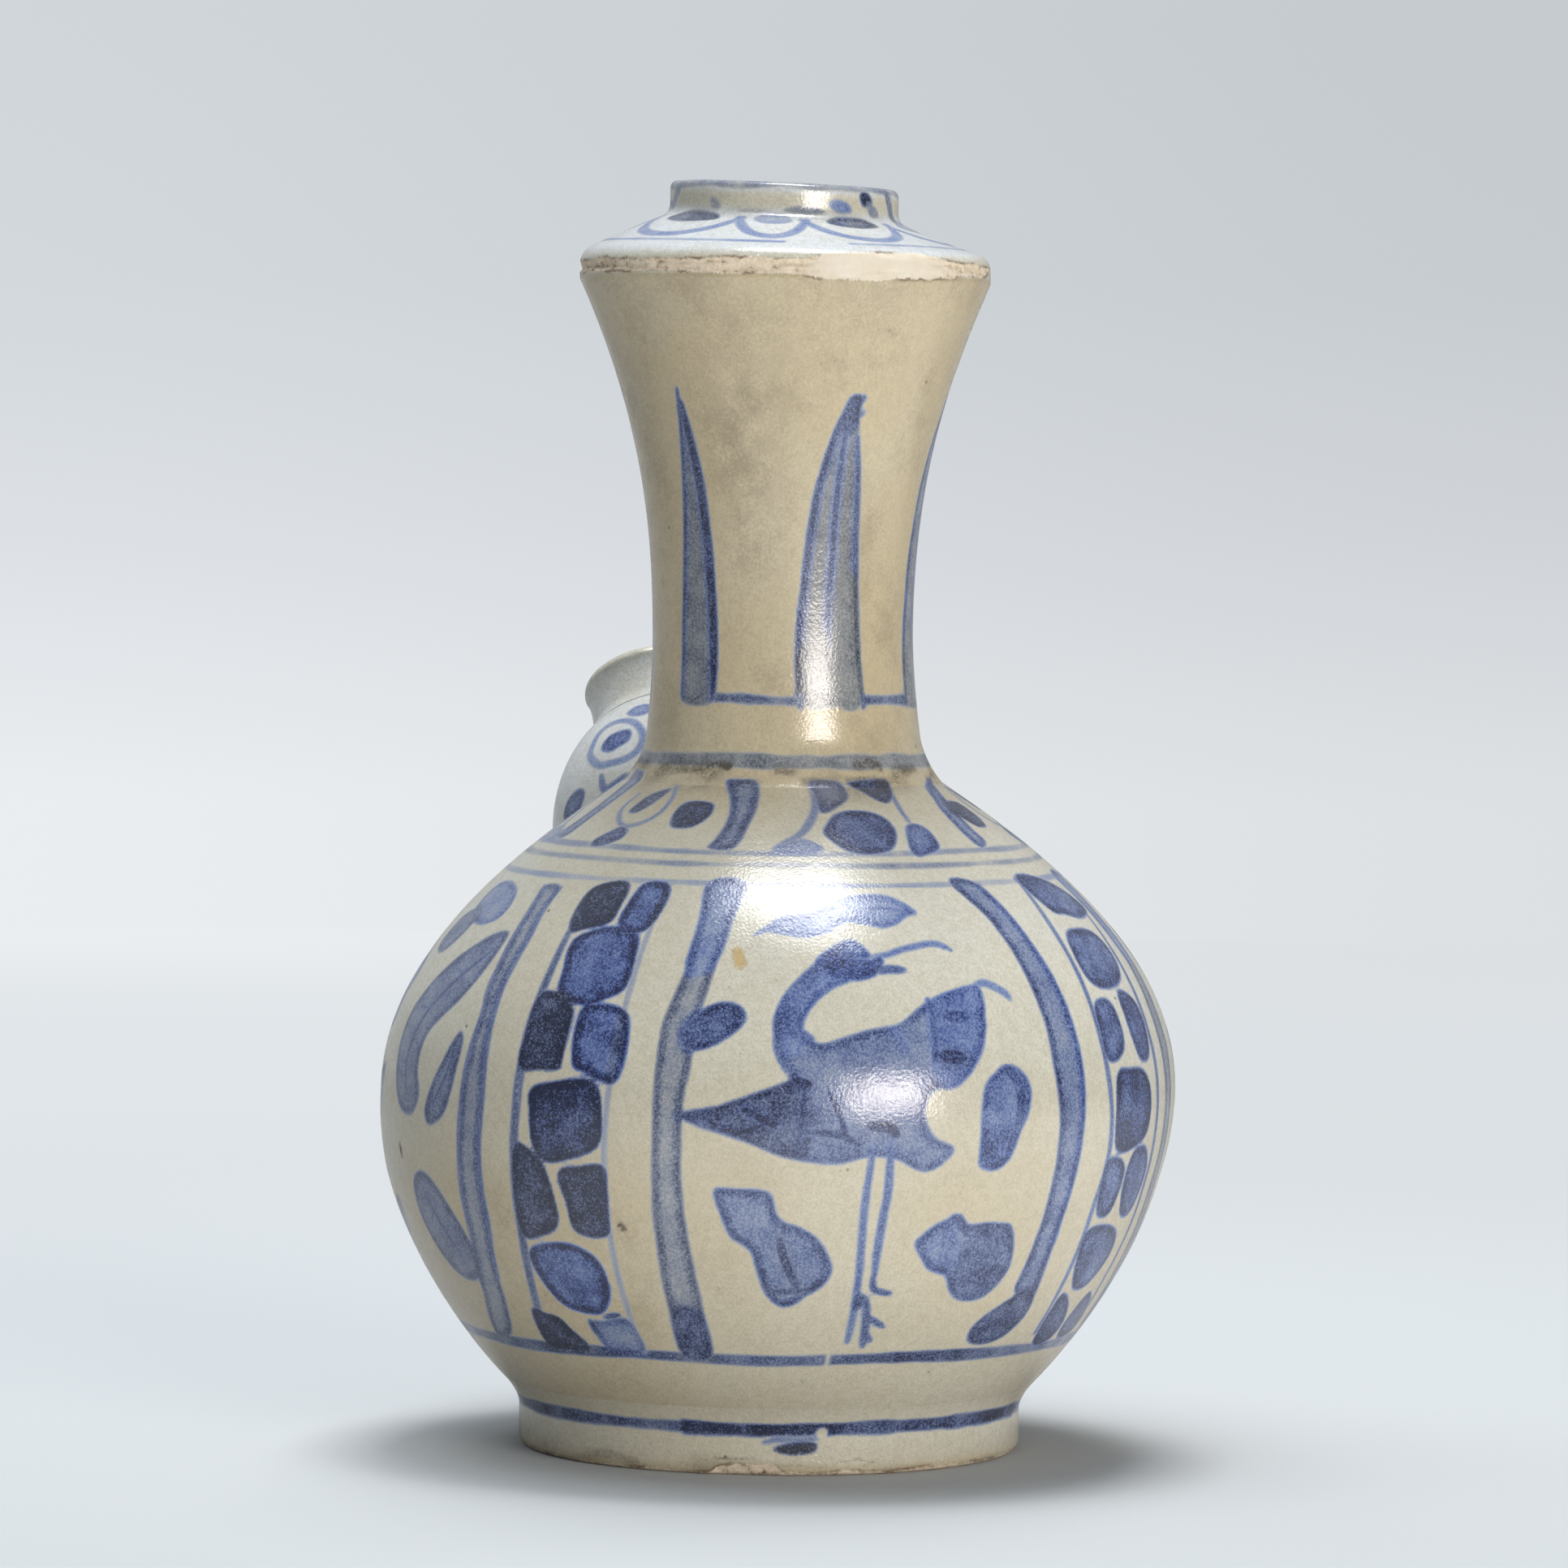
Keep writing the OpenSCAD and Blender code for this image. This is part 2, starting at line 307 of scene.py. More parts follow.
class Painting:
    """Distances and strengths of the painting at the points of one piece."""

    NAMES = ("wash", "tone", "rim", "stroke", "ink", "ash", "bare", "flake", "dirt", "warm")
    DISTANCES = ("wash", "stroke", "bare")
    REACH = 3.0  # Distance up to which a motif is worked out, in millimetres.
    CLEAR = 1.5  # Distance from which a place counts as unpainted, in millimetres.
    EDGES = {"stroke": 0.6, "wash": 1.2}  # Distance over which one motif fades into another, in millimetres.

    def __init__(self, chart: Chart, angle: Array, height: Array, outer: Array) -> None:
        """Starts with nothing painted.

        Args:
            chart: The unrolled wall.
            angle: Angle of each point from the face, in degrees.
            height: Height of each point, in millimetres.
            outer: True where the point lies on the painted wall.
        """
        self.chart, self.angle, self.outer = chart, angle, outer
        self.where = np.flatnonzero(outer)
        self.run = chart.run(height)
        self.reach = np.radians(np.maximum(chart.radius(height), 1.0))
        self.layers = {name: np.full(len(angle), FAR if name in self.DISTANCES else 0.0) for name in self.NAMES}

    def add(self, motifs: Iterable[Motif]) -> Painting:
        """Lays motifs over one another, in order.

        Args:
            motifs: Washes, strokes, rings and stains.

        Returns:
            The painting itself.
        """
        ways = {Wash: self._wash, Stroke: self._stroke, Ring: self._ring, Stain: self._stain}
        for motif in motifs:
            ways[type(motif)](motif)
        return self

    def _near(self, chain: Array) -> tuple[Array, Array, Array]:
        """Finds the points near a chain.

        Args:
            chain: Angles and heights of the chain.

        Returns:
            Indices of the points, and the chain's steps across and up from each point in millimetres.
        """
        left, right = chain[:, 0].min(), chain[:, 0].max()
        offset = wrapped(self.angle[self.where] - (left + right) / 2.0)
        runs = self.chart.run(chain[:, 1])
        reach, run = self.reach[self.where], self.run[self.where]
        inside = np.abs(offset) * reach < (right - left) / 2.0 * reach + self.REACH
        inside &= (run > runs.min() - self.REACH) & (run < runs.max() + self.REACH)
        index = self.where[inside]
        across = (chain[None, :, 0] - (left + right) / 2.0 - offset[inside][:, None]) * reach[inside][:, None]
        return index, across, runs[None, :] - self.run[index][:, None]

    @staticmethod
    def _segments(ax: Array, ay: Array, bx: Array, by: Array) -> tuple[Array, Array]:
        """Measures from the origin to segments.

        Args:
            ax: Where each segment starts, across.
            ay: Where it starts, up.
            bx: Where it ends, across.
            by: Where it ends, up.

        Returns:
            The distance to each segment, and where along it the nearest place is.
        """
        dx, dy = bx - ax, by - ay
        t = np.clip(-(ax * dx + ay * dy) / (dx * dx + dy * dy + 1e-12), 0.0, 1.0)
        return np.hypot(ax + t * dx, ay + t * dy), t

    def _lay(self, index: Array, distance: Array, layer: str, strengths: dict[str, float | Array]) -> None:
        """Merges one motif into the layers.

        Args:
            index: The points near the motif.
            distance: Their distance from its edge, negative inside.
            layer: The layer of distances that it belongs to.
            strengths: What it lays on, by layer.
        """
        old, edge = self.layers[layer][index], self.EDGES[layer]
        cover = np.clip((edge - distance) / (0.75 * edge), 0.0, 1.0)
        unpainted = np.minimum(self.layers["wash"][index], self.layers["stroke"][index]) > self.CLEAR
        for name, value in strengths.items():
            have = self.layers[name][index]
            fresh = unpainted if name == "ash" else old > self.CLEAR
            self.layers[name][index] = np.where(fresh, value, have + (value - have) * cover)
        self.layers[layer][index] = np.minimum(old, distance)

    def _wash(self, motif: Wash) -> None:
        """Lays one wash.

        Args:
            motif: The wash.
        """
        index, ax, ay = self._near(motif.loop())
        if not len(index):
            return
        bx, by = np.roll(ax, -1, 1), np.roll(ay, -1, 1)
        distance = self._segments(ax, ay, bx, by)[0].min(1)
        crossing = (ay > 0) != (by > 0)
        meet = ax - ay * (bx - ax) / np.where(np.abs(by - ay) < 1e-9, 1e-9, by - ay)
        inside = (crossing & (meet > 0)).sum(1) % 2 == 1
        signed = np.where(inside, -distance, distance) - motif.grow
        self._lay(index, signed, "wash", {"tone": motif.tone, "rim": motif.rim, "ash": motif.ash})

    def _stroke(self, motif: Stroke) -> None:
        """Lays one brush stroke.

        Args:
            motif: The stroke.
        """
        chain, half = motif.chain()
        index, x, y = self._near(chain)
        if not len(index):
            return
        distance, t = self._segments(x[:, :-1], y[:, :-1], x[:, 1:], y[:, 1:])
        signed = (distance - (half[None, :-1] * (1 - t) + half[None, 1:] * t)).min(1)
        self._lay(index, signed, "stroke", {"ink": motif.tone, "ash": motif.ash})

    def _stain(self, motif: Stain) -> None:
        """Lays one stain over what its layer already holds.

        Args:
            motif: The stain.
        """
        index, x, y = self._near(np.array(motif.path, float))
        if not len(index):
            return
        distance = self._segments(x[:, :-1], y[:, :-1], x[:, 1:], y[:, 1:])[0].min(1)
        laid = motif.strength * smooth(-distance, -0.5 * motif.width - 0.25, -0.5 * motif.width + 0.2)
        self.layers[motif.layer][index] = np.maximum(self.layers[motif.layer][index], laid)

    def _ring(self, motif: Ring) -> None:
        """Lays one turned line, or the given spans of it.

        Args:
            motif: The line.
        """
        line = self.chart.run(motif.height)
        index = self.where[np.abs(self.run[self.where] - line) < motif.width / 2 + self.REACH]
        if not len(index):
            return
        angle, noise = self.angle[index], Unevenness(motif.seed)
        half = motif.width / 2 * (1.0 + 0.2 * noise.around(angle, 9, 8.0))
        signed = np.abs(self.run[index] - (line + motif.waver * noise.around(angle, 0, 24.0))) - half
        if motif.spans:
            gap = np.full(len(index), FAR)
            for low, high in motif.spans:
                beyond = np.abs(wrapped(angle - (low + high) / 2)) - (high - low) / 2
                gap = np.minimum(gap, beyond * self.reach[index])
            signed = np.maximum(signed, gap)
        worn = 1.0 + 0.28 * noise.around(angle, 40, 12.0) + 0.16 * noise.around(angle, 70, 3.0)
        self._lay(index, signed, "stroke", {"ink": motif.tone * worn, "ash": motif.ash})

    def store(self, piece: Piece) -> None:
        """Writes the layers onto a piece's mesh as attributes.

        Args:
            piece: The piece that the painting was made for.
        """
        for name, values in self.layers.items():
            layer = piece.data.attributes.new(name, "FLOAT", "POINT")
            layer.data.foreach_set("value", values.astype(np.float32))


@dataclass
class Surface:
    """Where a piece's points lie: angles about the axis in degrees, radii and heights in millimetres."""

    angle: Array
    radius: Array
    height: Array

    @property
    def face(self) -> Array:
        """Angles from the side that faces the viewer."""
        return self.angle - FACE


class Wheel:
    """The potter's wheel: turns an outline into a piece and lets its surface be read and pressed."""

    CREASE = 42.0  # Angle from which an edge stays sharp, in degrees.

    @classmethod
    def throw(cls, section: Section, outline: Outline, steps: int) -> Piece:
        """Draws an outline in edit mode and turns it about the axis.

        Args:
            section: The section that is thrown.
            outline: Closed half section, whose last point needn't repeat the first.
            steps: Steps around the axis.

        Returns:
            The new piece.
        """
        points = [outline.points[0]]
        points += [b for a, b in zip(outline.points, outline.points[1:]) if math.dist(a, b) > 1e-4]
        if points[0][0] > 1e-6 or points[-1][0] > 1e-6:
            points.append(points[0])
        cls.pick()
        bpy.ops.mesh.primitive_plane_add(size=MM, location=(0.0, 0.0, 0.0))
        piece = bpy.context.object
        piece.name = piece.data.name = section.value
        bpy.ops.object.mode_set(mode="EDIT")
        bpy.ops.mesh.select_all(action="SELECT")
        bpy.ops.mesh.merge(type="CENTER")
        bpy.ops.transform.translate(value=(points[0][0] * MM, 0.0, points[0][1] * MM))
        for a, b in zip(points, points[1:]):
            step = ((b[0] - a[0]) * MM, 0.0, (b[1] - a[1]) * MM)
            bpy.ops.mesh.extrude_vertices_move(TRANSFORM_OT_translate={"value": step})
        bpy.ops.mesh.select_all(action="SELECT")
        bpy.ops.mesh.remove_doubles(threshold=1e-7)
        bpy.ops.object.mode_set(mode="OBJECT")
        turn = piece.modifiers.new("turn", "SCREW")
        turn.steps = turn.render_steps = steps
        turn.use_merge_vertices, turn.merge_threshold = True, 1e-6
        bpy.ops.object.modifier_apply(modifier="turn")
        bpy.ops.object.mode_set(mode="EDIT")
        bpy.ops.mesh.select_all(action="SELECT")
        bpy.ops.mesh.remove_doubles(threshold=2e-6)
        bpy.ops.mesh.normals_make_consistent(inside=False)
        bpy.ops.object.mode_set(mode="OBJECT")
        return piece

    @staticmethod
    def pick(piece: Piece | None = None) -> None:
        """Makes a piece the only one that is picked, or picks none.

        Args:
            piece: The piece, if any.
        """
        bpy.ops.object.select_all(action="DESELECT")
        if piece:
            piece.select_set(True)
            bpy.context.view_layer.objects.active = piece

    @staticmethod
    def points(piece: Piece) -> Array:
        """Reads the places of a piece's points.

        Args:
            piece: The piece.

        Returns:
            A row for each point, in metres.
        """
        co = np.empty(len(piece.data.vertices) * 3, np.float32)
        piece.data.vertices.foreach_get("co", co)
        return co.reshape(-1, 3).astype(float)

    @staticmethod
    def move(piece: Piece, co: Array) -> None:
        """Puts a piece's points at new places, in metres."""
        piece.data.vertices.foreach_set("co", co.astype(np.float32).ravel())
        piece.data.update()

    @classmethod
    def read(cls, piece: Piece) -> Surface:
        """Surface of a piece that stands on the wheel."""
        x, y, z = cls.points(piece).T / MM
        return Surface(np.degrees(np.arctan2(y, x)), np.hypot(x, y), z)

    @classmethod
    def press(cls, piece: Piece, to: Surface) -> None:
        """Moves a piece's points to a new surface."""
        a = np.radians(to.angle)
        cls.move(piece, np.stack([to.radius * np.cos(a), to.radius * np.sin(a), to.height], 1) * MM)

    @classmethod
    def fire(cls, piece: Piece, finish: Material, nodes: Sequence[str], slot: str = "glaze") -> None:
        """Shades a piece, gives it its finish and lets it stand for its nodes.

        Args:
            piece: The finished piece.
            finish: Its material.
            nodes: Nodes of the frame that the piece stands for.
            slot: Not used.
        """
        cls.pick(piece)
        bpy.ops.object.shade_smooth_by_angle(angle=math.radians(cls.CREASE))
        piece.data.materials.clear()
        piece.data.materials.append(finish)
        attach(piece, "root")
        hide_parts(*nodes)
        LOG.info("%s: %d points, stands for %s", piece.name, len(piece.data.vertices), ", ".join(nodes))


class Shading:
    """A node tree, with short ways to add the nodes that a ceramic finish and its studio need."""

    def __init__(self, owner: Material | bpy.types.World, place: str = "Object") -> None:
        """Starts with an empty tree.

        Args:
            owner: The material or the surroundings that the tree is for.
            place: The coordinates that give a place.
        """
        owner.use_nodes = True
        self.tree = owner.node_tree
        self.tree.nodes.clear()
        self.place = self.add("TexCoord", place)

    def add(self, kind: str, out: str | int, feeds: dict[str | int, object] | None = None, **ways: object) -> Socket:
        """Adds a node.

        Args:
            kind: The node's kind.
            out: The socket that it gives back.
            feeds: What its sockets take: other sockets, numbers or colours.
            **ways: Its properties.

        Returns:
            The socket.
        """
        node = self.tree.nodes.new("ShaderNode" + kind)
        for name, value in ways.items():
            setattr(node, name, value)
        for name, value in (feeds or {}).items():
            socket = node.inputs[name]
            if isinstance(value, Socket):
                self.tree.links.new(value, socket)
            elif isinstance(value, tuple) and len(value) == 3 and len(socket.default_value) == 4:
                socket.default_value = (*value, 1.0)
            else:
                socket.default_value = value
        return node.outputs[out]

    def show(self, shader: Socket, kind: str = "Material") -> None:
        """Ends the tree with a shader."""
        self.tree.links.new(shader, self.tree.nodes.new("ShaderNodeOutput" + kind).inputs["Surface"])

    def layer(self, name: str) -> Socket:
        """One of the painting's layers."""
        return self.add("Attribute", "Fac", attribute_name=name)

    def ray(self, name: str) -> Socket:
        """Whether the light comes this way."""
        return self.add("LightPath", name)

    def noise(self, size: float, detail: float = 2.0, rough: float = 0.5) -> Socket:
        """Noise whose patches have a size in millimetres."""
        feeds = {"Vector": self.place, "Scale": 1.0 / (size * MM), "Detail": detail, "Roughness": rough}
        return self.add("TexNoise", "Fac", feeds)

    def spots(self, spacing: float, near: Pair, chance: Pair) -> Socket:
        """Spots scattered by a spacing in millimetres, which fade in near their middles and are left out by chance."""
        away = self.add("TexVoronoi", "Distance", {"Vector": self.place, "Scale": 1.0 / (spacing * MM)})
        return self.sum("MULTIPLY", self.step(away, *near), self.step(away.node.outputs["Color"], *chance))

    def sum(self, kind: str, a: object, b: object = 0.0, c: object = 0.0) -> Socket:
        """One step of arithmetic."""
        return self.add("Math", 0, {0: a, 1: b, 2: c}, operation=kind)

    def measure(self, kind: str, other: Colour | Vector) -> Socket:
        """Measures a place against another vector."""
        return self.add("VectorMath", "Value", {0: self.place, 1: other}, operation=kind)

    def step(self, value: object, start: float, end: float, low: object = 0.0, high: object = 1.0,
             kind: str = "SMOOTHSTEP") -> Socket:
        """Step from low at start to high at end, soft as a rule."""
        feeds = {"Value": value, "From Min": start, "From Max": end, "To Min": low, "To Max": high}
        return self.add("MapRange", "Result", feeds, interpolation_type=kind)

    def ramp(self, value: object, stops: Sequence[tuple[float, Colour]]) -> Socket:
        """Colours along a value.

        Args:
            value: The value.
            stops: Where each colour stands, and the colour.

        Returns:
            The colour.
        """
        colour = self.add("ValToRGB", "Color", {"Fac": value})
        elements = colour.node.color_ramp.elements
        while len(elements) < len(stops):
            elements.new(1.0)
        for element, (at, tint) in zip(elements, stops):
            element.position, element.color = at, (*tint, 1.0)
        return colour

    def mix(self, factor: object, a: object, b: object, kind: str = "RGBA") -> Socket:
        """Mixes two colours, or two numbers where the kind says so."""
        return self.add("Mix", "Result", {"Factor": factor, "A": a, "B": b}, data_type=kind)

    def blend(self, factor: object, a: object, b: object) -> Socket:
        """Mixes two numbers."""
        return self.mix(factor, a, b, "FLOAT")


@dataclass(frozen=True)
class PaintedGlaze:
    """Satin glaze over blue painting, bare where it has chipped."""

    cream: Colour = (0.61, 0.595, 0.52)
    buff: Colour = (0.56, 0.51, 0.395)
    tan: Colour = (0.51, 0.415, 0.26)
    biscuit: Colour = (0.62, 0.51, 0.375)
    chalk: Colour = (0.74, 0.63, 0.49)
    flaked: Colour = (0.78, 0.72, 0.62)
    rust: Colour = (0.17, 0.1, 0.05)
    # Cool bluish white: on the cap's cone partly a painted reflection of the pale surroundings, on the spout partly
    # painted light.
    cool: Colour = (0.62, 0.665, 0.72)
    amber: Colour = (0.56, 0.36, 0.1)
    # Dark tint of the darkening layer: dirt, stains and cracks, and darker patches at creases, the heel and the base.
    darkening_tint: Colour = (0.055, 0.042, 0.03)
    mottle: Colour = (0.36, 0.3, 0.2)
    grain: Colour = (0.33, 0.285, 0.2)
    cloud: Colour = (0.26, 0.2, 0.12)
    speck: Colour = (0.1, 0.07, 0.04)
    freckle: Colour = (0.22, 0.16, 0.09)
    bubble: Colour = (0.5, 0.53, 0.6)
    warm_from: float = -0.5
    warm_to: float = 2.0
    cobalt: tuple[Colour, ...] = (
        (0.36, 0.37, 0.4), (0.31, 0.345, 0.43), (0.155, 0.215, 0.405),
        (0.078, 0.12, 0.31), (0.03, 0.048, 0.165), (0.013, 0.018, 0.055),
    )
    ashen: tuple[Colour, ...] = (
        (0.36, 0.345, 0.31), (0.335, 0.328, 0.302), (0.205, 0.212, 0.22),
        (0.11, 0.121, 0.14), (0.05, 0.058, 0.08), (0.017, 0.02, 0.032),
    )
    strength: float = 0.71
    gloss: float = 0.15
    index: float = 1.62

    @staticmethod
    def _steps(colours: Sequence[Colour]) -> list[tuple[float, Colour]]:
        """Colours of a pigment from thin to thick, evenly spaced."""
        return [(i / (len(colours) - 1), colour) for i, colour in enumerate(colours)]

    def _blue(self, s: Shading, fine: Socket, pool: Socket, grit: Socket) -> tuple[Socket, Socket]:
        """Lays the blue on.

        Args:
            s: The material's tree.
            fine: Fine noise.
            pool: Noise of pooling paint.
            grit: The paint's grains.

        Returns:
            The blue, and how far it covers the glaze.
        """
        waver = s.sum("MULTIPLY", s.sum("SUBTRACT", pool, 0.5), 0.5)
        waver = s.sum("MULTIPLY_ADD", s.sum("SUBTRACT", fine, 0.5), 0.6, waver)
        wash = s.sum("ADD", s.layer("wash"), waver)
        rim = s.sum("MULTIPLY", s.step(wash, -1.7, -0.5), s.layer("rim"))
        laid = s.sum("MULTIPLY_ADD", s.layer("tone"), s.step(pool, 0.25, 0.75, 0.76, 1.2), rim)
        stroke = s.sum("ADD", s.layer("stroke"), waver)
        line = s.sum("MULTIPLY", s.step(stroke, 0.46, -0.38), s.layer("ink"))
        pulled = s.sum("MULTIPLY", line, s.step(pool, 0.2, 0.8, 0.8, 1.22))
        strength = s.sum("MAXIMUM", s.sum("MULTIPLY", s.step(wash, 0.5, -0.4), laid), pulled)
        strength = s.sum("MULTIPLY", strength, s.step(grit, 0.34, 0.66, 0.66, 1.3))
        strength = s.sum("MULTIPLY", strength, self.strength)
        cobalt, ashen = (s.ramp(strength, self._steps(colours)) for colours in (self.cobalt, self.ashen))
        bubble = s.sum("MULTIPLY", s.spots(0.55, (0.3, 0.12), (0.4, 0.6)), 0.22)
        return s.mix(bubble, s.mix(s.layer("ash"), cobalt, ashen), self.bubble), s.step(strength, 0.0, 0.24)

    def _glaze(self, s: Shading, fine: Socket, pool: Socket, grit: Socket) -> Socket:
        """Tints the glaze between the painting.

        Args:
            s: The material's tree.
            fine: Fine noise.
            pool: Noise of pooling glaze.
            grit: Grains in the glaze.

        Returns:
            The glaze's colour.
        """
        warm = s.sum("ADD", s.layer("warm"), s.step(s.noise(34.0, 2.0), 0.3, 0.7, -0.1, 0.1))
        span = self.warm_to - self.warm_from
        tones = [(self.warm_from, self.cool), (0.0, self.cream), (0.5, self.buff), (0.9, self.tan), (1.3, self.tan)]
        stops = [((w - self.warm_from) / span, c) for w, c in tones + [(self.warm_to, self.amber)]]
        glaze = s.ramp(s.sum("MULTIPLY_ADD", warm, 1.0 / span, -self.warm_from / span), stops)
        cloud = s.sum("MULTIPLY_ADD", s.noise(9.0, 6.0, 0.66), 0.8, s.sum("MULTIPLY", fine, 0.2))
        cloud = s.sum("MULTIPLY", s.step(cloud, 0.46, 0.7), s.step(s.layer("warm"), 0.45, 0.95, 0.06, 0.42))
        for amount, tint in (
            (s.step(pool, 0.25, 0.75, 0.0, 0.12), self.tan),
            (s.step(s.noise(1.3, 3.0, 0.6), 0.4, 0.66, 0.0, 0.2), self.mottle),
            (s.step(grit, 0.38, 0.66, 0.0, 0.4), self.grain),
            (cloud, self.cloud),
            (s.sum("MULTIPLY", s.spots(7.0, (0.05, 0.025), (0.5, 0.56)), 0.75), self.speck),
            (s.sum("MULTIPLY", s.spots(3.1, (0.07, 0.03), (0.55, 0.6)), 0.45), self.freckle),
        ):
            glaze = s.mix(amount, glaze, tint)
        return glaze

    def material(self) -> Material:
        """Builds the finish.

        Returns:
            The material, which reads the painting's layers.
        """
        made = bpy.data.materials.new("painted_glaze")
        s = Shading(made)
        fine, pool = s.noise(0.42, 2.0), s.noise(3.6, 3.0)
        grit = s.sum("MULTIPLY_ADD", fine, 0.5, s.sum("MULTIPLY", s.noise(0.2, 1.0), 0.5))
        blue, covered = self._blue(s, fine, pool, grit)
        colour = s.mix(covered, self._glaze(s, fine, pool, grit), blue)
        # The darkening layer, broken into patches, darkens the glaze and roughens it.
        darkening_patches = s.sum("MULTIPLY_ADD", pool, 0.6, s.sum("MULTIPLY", fine, 0.4))
        dirt = s.sum("MULTIPLY", s.layer("dirt"), s.step(darkening_patches, 0.3, 0.62))
        colour = s.mix(dirt, colour, self.darkening_tint)

        bare_at = s.sum("MULTIPLY_ADD", s.sum("SUBTRACT", fine, 0.5), 0.8, s.layer("bare"))
        bare, flake, crumb = s.step(bare_at, 0.1, -0.1), s.layer("flake"), s.noise(1.3, 5.0, 0.65)
        clay = s.ramp(crumb, [(0.3, self.rust), (0.43, self.biscuit), (0.62, self.chalk), (0.8, self.biscuit)])
        clay = s.mix(flake, clay, s.mix(pool, self.biscuit, self.flaked))
        lip = s.sum("MULTIPLY", s.step(s.sum("ABSOLUTE", bare_at), 0.3, 0.06), s.step(pool, 0.44, 0.6))
        colour = s.mix(s.sum("MULTIPLY", lip, 0.8), s.mix(bare, colour, clay), self.rust)

        peel = s.sum("MULTIPLY_ADD", s.noise(1.6, 1.0), 0.5, s.sum("MULTIPLY", fine, 0.8))
        height = s.blend(bare, peel, s.sum("MULTIPLY", crumb, s.step(flake, 0.0, 1.0, 7.0, 4.0)))
        normal = s.add("Bump", "Normal", {"Strength": 0.5, "Distance": 0.1 * MM, "Height": height})
        sheen = s.step(pool, 0.2, 0.8, self.gloss, self.gloss + 0.08)
        rough = s.blend(s.sum("MAXIMUM", bare, dirt), sheen, 0.85)
        feeds = {"Base Color": colour, "Roughness": rough, "Normal": normal, "IOR": self.index}
        s.show(s.add("BsdfPrincipled", "BSDF", feeds))
        return made


def moved(motifs: Iterable[Motif], by: float, mirror: float | None = None, change: float = 0.0,
          seed: int = 0) -> list[Motif]:
    """Repeats washes and strokes elsewhere around the vessel, each a little different.

    Args:
        motifs: Washes and strokes to repeat.
        by: Angle to move them, in degrees.
        mirror: Angle to mirror them about before they move, if any.
        change: How far points may stray, in degrees and millimetres.
        seed: Seed for the straying.

    Returns:
        The new washes and strokes.
    """
    pick = np.random.RandomState(seed)
    result: list[Motif] = []
    for m in motifs:
        part = "outline" if isinstance(m, Wash) else "path"
        sway = pick.uniform(-change, change, 2)
        new = []
        for a, z in getattr(m, part):
            a = a if mirror is None else 2 * mirror - a
            stray = pick.uniform(-change, change, 2) * 0.5
            new.append((a + by + sway[0] + stray[0], z + 0.5 * (sway[1] + stray[1])))
        result.append(replace(m, **{part: new}))
    return result


def leaf(base: Pair, tip: Pair, breadth: float, tone: float = 0.68, rim: float = 0.35, ash: float = 0.35) -> Wash:
    """A leaf or a petal.

    Args:
        base: Where it grows from.
        tip: Where it ends.
        breadth: Half its breadth, in millimetres.
        tone: Strength of the blue.
        rim: How much darker its edge is.
        ash: How grey the blue is.

    Returns:
        The wash.
    """
    start, end = np.array(base, float), np.array(tip, float)
    along = end - start
    over = np.array([-along[1], along[0]]) * breadth / np.hypot(*along)
    side = [(0.2, 0.6), (0.45, 1.0), (0.75, 0.75)]
    points = [start] + [start + t * along + w * over for t, w in side]
    points += [end] + [start + t * along - w * over for t, w in side[::-1]]
    return Wash([(float(x), float(z)) for x, z in points], tone, rim, ash)


